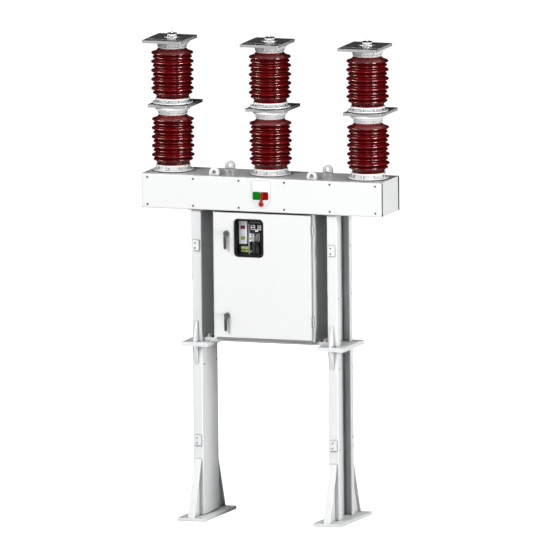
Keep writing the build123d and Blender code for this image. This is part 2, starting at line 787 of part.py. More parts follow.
with BuildPart() as window_gasket:
    # front band, web through the cut-out, and a back lip, round the glass's edge
    with BuildSketch(Plane.XZ.offset(-door_face + gasket_proud)):
        with Locations((window_centre_x, window_centre_z)):
            RectangleRounded(window_width + 2 * gasket_overlap, window_height + 2 * gasket_overlap,
                             window_corner_radius + gasket_overlap)
    extrude(amount=-gasket_proud)
    with BuildSketch(Plane.XZ.offset(-door_face)):
        with Locations((window_centre_x, window_centre_z)):
            RectangleRounded(web_width, web_height, window_corner_radius)
    extrude(amount=-(glass_thickness + seat_clearance + gasket_proud))
    with BuildSketch(Plane.XZ.offset(-door_face + gasket_proud)):
        with Locations((window_centre_x, window_centre_z)):
            RectangleRounded(sight_width, sight_height, window_corner_radius - gasket_overlap)
    extrude(amount=-3 * gasket_proud - glass_thickness, mode=Mode.SUBTRACT)
    with BuildSketch(Plane.XZ.offset(-door_face)):
        with Locations((window_centre_x, window_centre_z)):
            RectangleRounded(glass_width, glass_height, window_corner_radius - gasket_groove)
    extrude(amount=-(glass_thickness + seat_clearance), mode=Mode.SUBTRACT)
window_gasket.part.label = "window_gasket"
export_step(window_gasket.part, "parts/window_gasket.step")

with BuildPart() as window_glass:
    with BuildSketch(Plane.XZ.offset(-door_face)):
        with Locations((window_centre_x, window_centre_z)):
            RectangleRounded(glass_width - 2 * seat_clearance, glass_height - 2 * seat_clearance,
                             window_corner_radius - gasket_groove)
    extrude(amount=-glass_thickness)
window_glass.part.label = "window_glass"
export_step(window_glass.part, "parts/window_glass.step")

# ---- latch levers -------------------------------------------------------------------

lever_back = door_face - seat_clearance - latch_boss_length
lever_front = lever_back - lever_crank
lever_shoulder = latch_boss_radius * 0.6

for name, latch_z in zip(("lower_latch", "upper_latch"), latch_heights):
    with BuildPart() as latch:
        # side view of the cranked lever, then trimmed to its tapered front view
        with BuildSketch(Plane.YZ.offset(latch_x)):
            with BuildLine():
                Polyline((lever_back + lever_thickness, latch_z + lever_shoulder),
                         (lever_back, latch_z + lever_shoulder),
                         (lever_front, latch_z - latch_boss_radius - lever_crank),
                         (lever_front, latch_z - lever_length),
                         (lever_front + lever_thickness, latch_z - lever_length),
                         (lever_front + lever_thickness, latch_z - latch_boss_radius - lever_crank),
                         (lever_back + lever_thickness, latch_z - lever_shoulder), close=True)
            make_face()
        extrude(amount=lever_root_width / 2, both=True)
        with BuildSketch(Plane.XZ.offset(-lever_front)):
            with BuildLine():
                Polyline((latch_x - lever_root_width / 2, latch_z + lever_shoulder),
                         (latch_x + lever_root_width / 2, latch_z + lever_shoulder),
                         (latch_x + lever_tip_width / 2, latch_z - lever_length + lever_tip_width / 2),
                         (latch_x - lever_tip_width / 2, latch_z - lever_length + lever_tip_width / 2),
                         close=True)
            make_face()
            with Locations((latch_x, latch_z - lever_length + lever_tip_width / 2)):
                Circle(lever_tip_width / 2)
        extrude(amount=-(lever_crank + lever_thickness), mode=Mode.INTERSECT)
        # round boss on the door's face
        with BuildSketch(Plane.XZ.offset(-door_face + seat_clearance)):
            with Locations((latch_x, latch_z)):
                Circle(latch_boss_radius)
        extrude(amount=latch_boss_length)
        # spindle through the door, with the cam on its inner end
        with BuildSketch(Plane.XZ.offset(-door_face + seat_clearance)):
            with Locations((latch_x, latch_z)):
                Circle(latch_spindle_radius)
        extrude(amount=-(cam_behind_door + seat_clearance))
        with BuildSketch(Plane.XZ.offset(-door_face - cam_behind_door + cam_thickness)):
            with Locations((latch_x, latch_z)):
                Circle(cam_width / 2)
            with Locations((latch_x - cam_length / 2, latch_z)):
                Rectangle(cam_length, cam_width)
        extrude(amount=-cam_thickness)
    latch.part.label = name
    export_step(latch.part, f"parts/{name}.step")

# ---- position indicator -------------------------------------------------------------

with BuildPart() as indicator_plate:
    with BuildSketch(Plane.XZ.offset(-front_cover_face)):
        with BuildLine():
            Polyline((-indicator_width / 2, indicator_bottom + indicator_height),
                     (-indicator_width / 2, indicator_bottom + indicator_taper_height),
                     (-indicator_point_width / 2, indicator_bottom),
                     (indicator_point_width / 2, indicator_bottom),
                     (indicator_width / 2, indicator_bottom + indicator_taper_height),
                     (indicator_width / 2, indicator_bottom + indicator_height), close=True)
        make_face()
        with Locations((0, pointer_pivot_z)):
            Circle(shaft_hole_radius, mode=Mode.SUBTRACT)
    extrude(amount=indicator_thickness)
    fillet(indicator_plate.edges().filter_by(Axis.Y).filter_by(GeomType.LINE), indicator_corner_radius)
indicator_plate.part.label = "indicator_plate"
export_step(indicator_plate.part, "parts/indicator_plate.step")

pointer_back = front_cover_face - indicator_thickness - seat_clearance
tip_x = pointer_arm_length * tan(radians(pointer_lean))
with BuildPart() as pointer:
    with BuildSketch(Plane.XZ.offset(-pointer_back)):
        with Locations((0, pointer_pivot_z)):
            Circle(pointer_bulb_radius)
        with Locations((tip_x, pointer_pivot_z + pointer_arm_length)):
            Circle(pointer_tip_radius)
        with BuildLine():
            Polyline((-pointer_bulb_radius * 0.7, pointer_pivot_z),
                     (tip_x - pointer_tip_radius, pointer_pivot_z + pointer_arm_length),
                     (tip_x + pointer_tip_radius, pointer_pivot_z + pointer_arm_length),
                     (pointer_bulb_radius * 0.7, pointer_pivot_z), close=True)
        make_face()
    extrude(amount=pointer_thickness)
    collar_front = front_cover_face + cover_sheet + seat_clearance
    with BuildSketch(Plane.XZ.offset(-pointer_back)):
        with Locations((0, pointer_pivot_z)):
            Circle(pointer_shaft_radius)
    extrude(amount=-(collar_front - pointer_back + pointer_collar_length))
    with BuildSketch(Plane.XZ.offset(-collar_front)):
        with Locations((0, pointer_pivot_z)):
            Circle(pointer_collar_radius)
    extrude(amount=-pointer_collar_length)
pointer.part.label = "pointer"
export_step(pointer.part, "parts/pointer.step")

# ---- spring mechanism seen through the window ---------------------------------------

mechanism_top = cabinet_top - cabinet_sheet
mechanism_bottom = window_centre_z - window_height / 2 - mechanism_below_window
mechanism_height = mechanism_top - mechanism_bottom
mechanism_centre_z = (mechanism_top + mechanism_bottom) / 2
mechanism_front = cabinet_front + mechanism_set_back
mechanism_left, mechanism_divider, mechanism_right = [window_centre_x + x for x in mechanism_plate_offsets]
mechanism_centre_x = (mechanism_left + mechanism_right) / 2
mechanism_width = mechanism_right - mechanism_left + mechanism_plate
strap_front = mechanism_front + mechanism_strap_set_back
bay_centre_x = (mechanism_divider + mechanism_right) / 2
bay_width = mechanism_right - mechanism_divider - mechanism_plate

with BuildPart() as mechanism_frame:
    # upright plates hung from the cabinet's roof, tied by a tray, a top plate and a strap across
    with BuildSketch(Plane.XZ.offset(-mechanism_front)):
        with Locations((mechanism_left, mechanism_centre_z), (mechanism_divider, mechanism_centre_z),
                       (mechanism_right, mechanism_centre_z)):
            Rectangle(mechanism_plate, mechanism_height)
        with Locations((mechanism_centre_x, mechanism_bottom + mechanism_plate / 2),
                       (mechanism_centre_x, mechanism_top - mechanism_plate / 2)):
            Rectangle(mechanism_width, mechanism_plate)
    extrude(amount=-mechanism_depth)
    with BuildSketch(Plane.XZ.offset(-strap_front)):
        with Locations((mechanism_centre_x, mechanism_centre_z)):
            Rectangle(mechanism_width, mechanism_height)
    extrude(amount=-mechanism_plate)
    with BuildSketch(Plane.XZ.offset(-strap_front)):
        with Locations((bay_centre_x, window_centre_z + tie_bar_rise)):
            Rectangle(bay_width + mechanism_plate, tie_bar_height)
    extrude(amount=tie_bar_depth)
mechanism_frame.part.label = "mechanism_frame"
export_step(mechanism_frame.part, "parts/mechanism_frame.step")

fascia_x = window_centre_x + fascia_offset[0]
fascia_z = window_centre_z + fascia_offset[1]
with BuildPart() as indicator_fascia:
    with BuildSketch(Plane.XZ.offset(-strap_front)):
        with Locations((fascia_x, fascia_z)):
            Rectangle(fascia_width, fascia_height)
    extrude(amount=fascia_depth)
    with BuildSketch(Plane.XZ.offset(-strap_front + fascia_depth)):
        with Locations(*[(fascia_x, fascia_z + rise) for rise in fascia_window_rises]):
            Rectangle(fascia_window_width, fascia_window_height)
    extrude(amount=-fascia_window_depth, mode=Mode.SUBTRACT)
indicator_fascia.part.label = "indicator_fascia"
export_step(indicator_fascia.part, "parts/indicator_fascia.step")

with BuildPart() as counter_panel:
    with BuildSketch(Plane.XZ.offset(-strap_front)):
        with Locations((bay_centre_x, window_centre_z + counter_panel_rise)):
            Rectangle(bay_width - 2 * seat_clearance, counter_panel_height)
    extrude(amount=counter_panel_depth)
    for across, rise, width, height in counter_offsets:
        with BuildSketch(Plane.XZ.offset(-strap_front + counter_panel_depth)):
            with Locations((window_centre_x + across, window_centre_z + rise)):
                Rectangle(width, height)
                Rectangle(width - 2 * counter_rim, height - 2 * counter_rim, mode=Mode.SUBTRACT)
        extrude(amount=counter_frame_depth)
counter_panel.part.label = "counter_panel"
export_step(counter_panel.part, "parts/counter_panel.step")

with BuildPart() as relay_blocks:
    for across, rise, width, height in relay_offsets:
        with BuildSketch(Plane.XZ.offset(-strap_front)):
            with Locations((window_centre_x + across, window_centre_z + rise)):
                Rectangle(width, height)
        extrude(amount=relay_depth)
relay_blocks.part.label = "relay_blocks"
export_step(relay_blocks.part, "parts/relay_blocks.step")

with BuildPart() as terminal_block:
    block_place = (window_centre_x + terminal_block_offset[0], window_centre_z + terminal_block_offset[1])
    with BuildSketch(Plane.XZ.offset(-strap_front)):
        with Locations(block_place):
            Rectangle(terminal_count * terminal_pitch, terminal_height)
    extrude(amount=terminal_block_depth)
    # slots that part the terminals
    with BuildSketch(Plane.XZ.offset(-strap_front + terminal_block_depth)):
        with Locations(block_place):
            with GridLocations(terminal_pitch, 0, terminal_count - 1, 1):
                Rectangle(terminal_slot_width, terminal_height)
    extrude(amount=-terminal_slot_depth, mode=Mode.SUBTRACT)
terminal_block.part.label = "terminal_block"
export_step(terminal_block.part, "parts/terminal_block.step")

with BuildPart() as charging_motor:
    # upright on the tray, against the strap
    motor_place = (window_centre_x + motor_offset, strap_front - motor_radius - seat_clearance)
    with BuildSketch(Plane.XY.offset(mechanism_bottom + mechanism_plate)):
        with Locations(motor_place):
            Circle(motor_radius)
    extrude(amount=motor_height)
    with BuildSketch(Plane.XY.offset(mechanism_bottom + mechanism_plate + motor_height)):
        with Locations(motor_place):
            Circle(motor_cap_radius)
    extrude(amount=motor_cap_height)
charging_motor.part.label = "charging_motor"
export_step(charging_motor.part, "parts/charging_motor.step")
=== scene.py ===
"""Looks of an outdoor gas insulated breaker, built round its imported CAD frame.

Lengths are in metres and +Z is up. The origin lies on the ground, midway between the base plates.
"""

import json
import logging
import math
from dataclasses import dataclass, field, replace
from enum import Enum
from typing import Iterable, Mapping, Sequence, Union

import bmesh
import bpy
from bpy.types import Material, Mesh, NodeSocket, NodeTree, Object
from mathutils import Matrix, Vector

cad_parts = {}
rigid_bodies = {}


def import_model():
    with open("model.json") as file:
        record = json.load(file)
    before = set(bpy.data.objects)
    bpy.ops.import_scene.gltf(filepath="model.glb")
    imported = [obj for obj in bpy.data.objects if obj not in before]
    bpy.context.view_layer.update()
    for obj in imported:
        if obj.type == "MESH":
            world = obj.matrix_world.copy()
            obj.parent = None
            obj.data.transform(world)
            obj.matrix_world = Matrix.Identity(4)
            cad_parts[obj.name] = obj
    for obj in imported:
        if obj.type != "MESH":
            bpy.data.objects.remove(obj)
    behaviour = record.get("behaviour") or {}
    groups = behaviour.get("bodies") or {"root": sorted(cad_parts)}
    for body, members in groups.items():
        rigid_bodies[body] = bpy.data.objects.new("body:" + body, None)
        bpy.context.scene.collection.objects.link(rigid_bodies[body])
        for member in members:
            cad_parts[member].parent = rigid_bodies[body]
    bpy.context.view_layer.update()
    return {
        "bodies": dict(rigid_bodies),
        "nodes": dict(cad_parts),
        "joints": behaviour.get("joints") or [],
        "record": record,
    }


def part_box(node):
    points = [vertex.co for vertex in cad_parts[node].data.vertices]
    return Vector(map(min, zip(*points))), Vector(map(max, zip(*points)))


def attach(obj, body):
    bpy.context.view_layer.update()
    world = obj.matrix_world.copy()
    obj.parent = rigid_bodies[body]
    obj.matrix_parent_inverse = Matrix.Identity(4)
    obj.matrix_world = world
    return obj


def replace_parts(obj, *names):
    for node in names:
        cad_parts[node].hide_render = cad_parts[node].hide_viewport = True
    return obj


LOG = logging.getLogger("breaker")
MM = 0.001
Point = tuple[float, float]
Profile = list[Point]
Colour = tuple[float, float, float]
Input = Union[NodeSocket, float, Sequence[float]]
Outputs = bpy.types.bpy_prop_collection

FRAME_BODY = "frame"
DOOR_BODY = "door"
POINTER_BODY = "indicator_pointer"


class Facing(Enum):
    """Directions that a small form can be turned to."""

    UP = (0.0, 0.0, 1.0)
    FRONT = (0.0, -1.0, 0.0)
    BACK = (0.0, 1.0, 0.0)
    LEFT = (-1.0, 0.0, 0.0)
    RIGHT = (1.0, 0.0, 0.0)


class Light(Enum):
    """What a studio light does."""

    FILL = "lights surfaces without showing in reflections"
    GLINT = "shows in reflections without lighting surfaces"


class Grain(Enum):
    """Kinds of fine relief that a finish can have."""

    ORANGE_PEEL = "orange_peel"
    CAST = "cast"
    BRUSHED = "brushed"
    TURNED = "turned"
    GLAZED = "glazed"
    MOULDED = "moulded"


# Finishes


@dataclass(frozen=True)
class Finish:
    """One surface finish: its colours, its gloss, the marks of making and weather, and the shade and
    highlights painted into its colour.

    Args:
        name: Name of the material.
        colour: Base colour, linear.
        second: Colour that the base drifts towards in soft patches.
        drift: How far it drifts, from 0 to 1.
        roughness: Middle of the roughness range.
        spread: Half of the roughness range.
        metallic: 0 for paint and plastic, 1 for bare metal.
        grain: Kind of fine relief.
        grain_size: Size of the relief's cells.
        grain_depth: Depth of the relief.
        edge_radius: Radius that the shader rounds sharp edges to.
        edge_wear_and_highlight: How much of the edge colour shows along the edges.
        bare: Colour of the worn edges; on the structure paint it is lighter than the paint, a painted edge
            highlight.
        dust: How much dust lies on faces that look up.
        coat: Weight of the clear coat.
        corner_shade: Painted shade: how dark the inner corners and the gaps are.
        corner_shade_reach: How far from a corner the painted shade reaches.
        shade: How much deep recesses are darkened, over about a hand's width.
        top_polish_and_shade: How much the faces that look up are polished, as the terminals' clamping faces,
            and painted darker, as shade.
        tint: Colour of the reflections on a surface that isn't metal.
        under: How dark the faces that look down are painted, as shade; with it set, the coat's gloss is also
            taken off in the corners that the painted corner shade darkens.
    """

    name: str
    colour: Colour
    second: Colour
    drift: float = 0.3
    roughness: float = 0.4
    spread: float = 0.05
    metallic: float = 0.0
    grain: Grain = Grain.ORANGE_PEEL
    grain_size: float = 1.2 * MM
    grain_depth: float = 0.02 * MM
    edge_radius: float = 0.8 * MM
    edge_wear_and_highlight: float = 0.0
    bare: Colour = (0.35, 0.35, 0.34)
    dust: float = 0.0
    coat: float = 0.0
    corner_shade: float = 0.0
    corner_shade_reach: float = 14 * MM
    shade: float = 0.0
    top_polish_and_shade: float = 0.0
    tint: Colour = (1.0, 1.0, 1.0)
    under: float = 0.0

    def darker(self, tone: float) -> Colour:
        """Returns the base colour, made darker."""
        return tuple(tone * value for value in self.colour)


@dataclass(frozen=True)
class GlassFinish:
    """Clear glass: its two tints, the range of its roughness and how far it bends the light."""

    name: str
    colour: Colour
    second: Colour
    roughness: tuple[float, float]
    bending: float
    patch_scale: float = 9.0
    speckle_scale: float = 200.0


WINDOW_GLASS = GlassFinish("window_glass", (0.93, 0.96, 0.95), (0.97, 0.99, 0.98), (0.02, 0.07), 1.08)
# The corner, recess and underside darkening of these finishes is painted shade in the colour.
HOUSING_PAINT = Finish(
    "housing_paint", (0.755, 0.762, 0.758), (0.73, 0.74, 0.74), roughness=0.34, edge_radius=1.5 * MM,
    edge_wear_and_highlight=0.12, bare=(0.62, 0.63, 0.63), dust=0.10, coat=0.15, corner_shade=0.8, shade=0.75)
# Its edge colour is lighter than the paint: a painted edge highlight.
STRUCTURE_PAINT = Finish(
    "structure_paint", (0.74, 0.748, 0.752), (0.70, 0.715, 0.72), roughness=0.42, grain_size=2.0 * MM,
    grain_depth=0.03 * MM, edge_radius=2.5 * MM, edge_wear_and_highlight=0.6, bare=(0.93, 0.935, 0.94), dust=0.12, corner_shade=0.8,
    shade=0.5)
# Painted shade darkens the corners beside the ribs and the faces that look down.
CASTING_PAINT = Finish(
    "cast_flange_paint", (0.76, 0.765, 0.76), (0.70, 0.705, 0.70), drift=0.4, roughness=0.36,
    grain=Grain.CAST, grain_size=2.5 * MM, grain_depth=0.03 * MM, edge_wear_and_highlight=0.1, bare=(0.5, 0.5, 0.5), corner_shade=1.0,
    corner_shade_reach=17 * MM, under=0.15)
# Painted shade darkens the valleys between the sheds, the deep recesses and the faces that look down.
PORCELAIN_GLAZE = Finish(
    "glazed_porcelain", (0.172, 0.0006, 0.0018), (0.130, 0.0005, 0.0012), drift=0.6, roughness=0.45,
    spread=0.03, grain=Grain.GLAZED, grain_size=30.0 * MM, grain_depth=0.05 * MM, edge_radius=0.3 * MM,
    coat=1.0, corner_shade=1.0, corner_shade_reach=45 * MM, shade=0.8, tint=(0.20, 0.05, 0.05), under=1.0)
# Faces that look up on this metal and the stud metal are polished and painted darker, as shade.
TERMINAL_METAL = Finish(
    "terminal_metal", (0.54, 0.545, 0.56), (0.44, 0.445, 0.46), roughness=0.34, spread=0.07, metallic=0.42,
    grain=Grain.BRUSHED, grain_size=0.6 * MM, edge_radius=1.2 * MM, edge_wear_and_highlight=0.5, bare=(0.90, 0.90, 0.90),
    corner_shade=0.8, top_polish_and_shade=1.0)
STUD_METAL = Finish(
    "stud_metal", (0.90, 0.90, 0.89), (0.84, 0.84, 0.83), roughness=0.30, metallic=0.45,
    grain=Grain.TURNED, grain_size=0.5 * MM, edge_wear_and_highlight=0.2, bare=(0.9, 0.9, 0.9), corner_shade=0.6, top_polish_and_shade=1.0)
ZINC = Finish(
    "zinc_plate", (0.74, 0.75, 0.76), (0.62, 0.63, 0.65), drift=0.6, roughness=0.36, metallic=0.5,
    grain=Grain.CAST, grain_size=1.0 * MM, edge_wear_and_highlight=0.2, bare=(0.75, 0.75, 0.75))
HINGE_STEEL = Finish(
    "hinge_steel", (0.62, 0.63, 0.63), (0.55, 0.56, 0.56), roughness=0.45, metallic=0.2,
    grain=Grain.TURNED, grain_size=0.6 * MM, edge_wear_and_highlight=0.2, bare=(0.5, 0.5, 0.5), corner_shade=0.8)
BLACK_OXIDE = Finish(
    "black_oxide", (0.035, 0.036, 0.038), (0.060, 0.060, 0.062), roughness=0.38,
    grain=Grain.TURNED, grain_size=0.5 * MM, edge_wear_and_highlight=0.3, bare=(0.25, 0.25, 0.25))
SEAL_RUBBER = Finish(
    "seal_rubber", (0.008, 0.008, 0.009), (0.014, 0.014, 0.014), roughness=0.62,
    grain=Grain.MOULDED, grain_size=0.8 * MM, tint=(0.35, 0.35, 0.35))
LATCH_METAL = Finish(
    "latch_metal", (0.055, 0.060, 0.062), (0.075, 0.080, 0.083), roughness=0.42,
    grain=Grain.CAST, grain_size=1.2 * MM, edge_wear_and_highlight=0.5, bare=(0.50, 0.50, 0.50), corner_shade=0.8)
INDICATOR_WHITE = Finish(
    "indicator_white", (0.77, 0.77, 0.79), (0.74, 0.74, 0.76), roughness=0.22, coat=0.5, corner_shade=0.8)
ENAMEL_GREEN = Finish(
    "enamel_green", (0.002, 0.20, 0.008), (0.001, 0.12, 0.005), drift=0.6, roughness=0.16, coat=0.8)
ENAMEL_RED = Finish(
    "enamel_red", (0.24, 0.001, 0.002), (0.16, 0.001, 0.001), drift=0.6, roughness=0.16, coat=0.8)
POINTER_RED = Finish(
    "pointer_red", (0.42, 0.020, 0.010), (0.34, 0.014, 0.007), roughness=0.2, coat=0.7)
MECHANISM_STEEL = Finish(
    "mechanism_steel", (0.010, 0.010, 0.011), (0.022, 0.022, 0.023), drift=0.5, roughness=0.45,
    grain=Grain.BRUSHED, grain_size=0.8 * MM, edge_wear_and_highlight=0.5, bare=(0.22, 0.22, 0.22), tint=(0.5, 0.5, 0.5))
FASCIA_PLASTIC = Finish(
    "fascia_plastic", (0.60, 0.59, 0.66), (0.54, 0.53, 0.60), roughness=0.45, grain=Grain.MOULDED)
FLAG_RED = Finish(
    "flag_red", (0.16, 0.002, 0.022), (0.10, 0.002, 0.015), roughness=0.4, grain=Grain.MOULDED)
FLAG_GREEN = Finish(
    "flag_green", (0.27, 0.32, 0.035), (0.20, 0.25, 0.03), roughness=0.4, grain=Grain.MOULDED)
COUNTER_PLASTIC = Finish(
    "counter_plastic", (0.006, 0.006, 0.006), (0.010, 0.010, 0.010), roughness=0.5, grain=Grain.MOULDED,
    tint=(0.4, 0.4, 0.4))
COUNTER_FRAME = Finish(
    "counter_frame", (0.72, 0.72, 0.72), (0.66, 0.66, 0.66), roughness=0.4, grain=Grain.MOULDED)
RELAY_PLASTIC = Finish(
    "relay_plastic", (0.24, 0.24, 0.24), (0.20, 0.20, 0.20), roughness=0.5, grain=Grain.MOULDED)
TERMINAL_PLASTIC = Finish(
    "terminal_plastic", (0.10, 0.13, 0.015), (0.07, 0.09, 0.01), roughness=0.45, grain=Grain.MOULDED)
MOTOR_PAINT = Finish(
    "motor_paint", (0.014, 0.014, 0.015), (0.025, 0.025, 0.026), roughness=0.4,
    grain=Grain.CAST, grain_size=1.5 * MM, edge_wear_and_highlight=0.3)

# The structure paint without the painted shade in deep recesses.
STRUCTURE_PAINT_WITHOUT_SHADE = replace(STRUCTURE_PAINT, name="structure_paint_without_shade", shade=0.0)
TERMINAL_CAP = Finish(
    "terminal_cap", (0.55, 0.60, 0.22), (0.45, 0.50, 0.16), roughness=0.45, grain=Grain.MOULDED)
LABEL_WHITE = Finish(
    "label_white", (0.80, 0.80, 0.80), (0.74, 0.74, 0.74), roughness=0.5, grain=Grain.MOULDED, corner_shade=0.7)
GREY_PLASTIC = Finish(
    "grey_plastic", (0.065, 0.065, 0.065), (0.085, 0.085, 0.085), roughness=0.5, grain=Grain.MOULDED)

NODE_FINISHES = {
    HOUSING_PAINT: ("crossarm_frame", "crossarm_front_cover", "crossarm_back_cover", "cabinet_shell",
                    "door_panel", "door_rail", "lifting_lugs"),
    STRUCTURE_PAINT: ("left_lower_column", "right_lower_column", "left_upper_column", "right_upper_column",
                      "lower_mid_flanges", "upper_mid_flanges", "top_flanges", "small_covers",
                      "base_braces", "cabinet_beams"),
    STRUCTURE_PAINT_WITHOUT_SHADE: ("left_base_plate", "right_base_plate", "mid_gussets"),
    CASTING_PAINT: ("foot_castings", "cap_castings"),
    PORCELAIN_GLAZE: ("lower_insulators", "upper_insulators"),
    TERMINAL_METAL: ("middle_terminals", "top_terminals"),
    STUD_METAL: ("terminal_studs",),
    HINGE_STEEL: ("fixed_hinges", "door_hinges"),
    SEAL_RUBBER: ("crossarm_seals", "window_gasket", "door_seal"),
    LATCH_METAL: ("lower_latch", "upper_latch"),
    INDICATOR_WHITE: ("indicator_plate",),
    POINTER_RED: ("pointer",),
    MECHANISM_STEEL: ("mechanism_frame",),
    FASCIA_PLASTIC: ("indicator_fascia",),
    COUNTER_PLASTIC: ("counter_panel",),
    RELAY_PLASTIC: ("relay_blocks",),
    TERMINAL_PLASTIC: ("terminal_block",),
    MOTOR_PAINT: ("charging_motor",),
}


# Shader groups and materials


def wired(tree: NodeTree, kind: str, inputs: Mapping[Union[str, int], Input],
          **settings: object) -> Outputs:
    """Adds a shader node, with each of its inputs set or linked.

    Args:
        tree: Node tree that the node goes in.
        kind: Type of the node, without its prefix.
        inputs: A value or another node's output for each input.
        settings: Properties of the node itself.

    Returns:
        The node's outputs.
    """
    node = tree.nodes.new(f"ShaderNode{kind}")
    for name, value in settings.items():
        setattr(node, name, value)
    for name, value in inputs.items():
        if isinstance(value, NodeSocket):
            tree.links.new(value, node.inputs[name])
        else:
            node.inputs[name].default_value = value
    return node.outputs


def ramp(tree: NodeTree, value: NodeSocket, given: tuple[float, float] = (0.0, 1.0),
         wanted: tuple[float, float] = (0.0, 1.0)) -> NodeSocket:
    """Maps a value from a given range to the wanted one, and holds it inside."""
    return wired(tree, "MapRange", {"Value": value, "From Min": given[0], "From Max": given[1],
                                    "To Min": wanted[0], "To Max": wanted[1]})["Result"]


def mixed(tree: NodeTree, amount: NodeSocket, first: Input, second: Input) -> NodeSocket:
    """Mixes two colours by a mask.

    Args:
        tree: Node tree that the mix goes in.
        amount: Socket that gives the mask.
        first: Colour or socket at mask 0.
        second: Colour or socket at mask 1.

    Returns:
        The socket with the mixed colour.
    """
    inputs = {0: amount}
    for place, value in ((6, first), (7, second)):
        inputs[place] = value if isinstance(value, NodeSocket) else (*value, 1.0)
    return wired(tree, "Mix", inputs, data_type="RGBA")[2]


def upward(tree: NodeTree) -> NodeSocket:
    """Returns how far the surface looks up, from -1 to 1."""
    normal = wired(tree, "NewGeometry", {})["Normal"]
    return wired(tree, "SeparateXYZ", {"Vector": normal})["Z"]


def product(tree: NodeTree, first: NodeSocket, second: Input) -> NodeSocket:
    """Returns the product of two values."""
    return wired(tree, "Math", {0: first, 1: second}, operation="MULTIPLY")["Value"]


class ShaderGroup:
    """A shader node group with named inputs and outputs."""

    def __init__(self, name: str, inputs: Mapping[str, str], outputs: Mapping[str, str]) -> None:
        """Starts the group.

        Args:
            name: Name of the group.
            inputs: Name and type of each input.
            outputs: Name and type of each output.
        """
        self.tree = bpy.data.node_groups.new(name, "ShaderNodeTree")
        for side, sockets in (("INPUT", inputs), ("OUTPUT", outputs)):
            for label, kind in sockets.items():
                self.tree.interface.new_socket(name=label, in_out=side, socket_type=f"NodeSocket{kind}")
        self.given = self.tree.nodes.new("NodeGroupInput").outputs
        self.sink = self.tree.nodes.new("NodeGroupOutput")

    def put(self, output: str, value: NodeSocket) -> None:
        """Feeds one of the group's outputs."""
        self.tree.links.new(value, self.sink.inputs[output])

    def place(self, tree: NodeTree, **inputs: Input) -> Outputs:
        """Places the group in a material and returns its outputs."""
        named = {label.replace("_", " "): value for label, value in inputs.items()}
        return wired(tree, "Group", named, node_tree=self.tree)


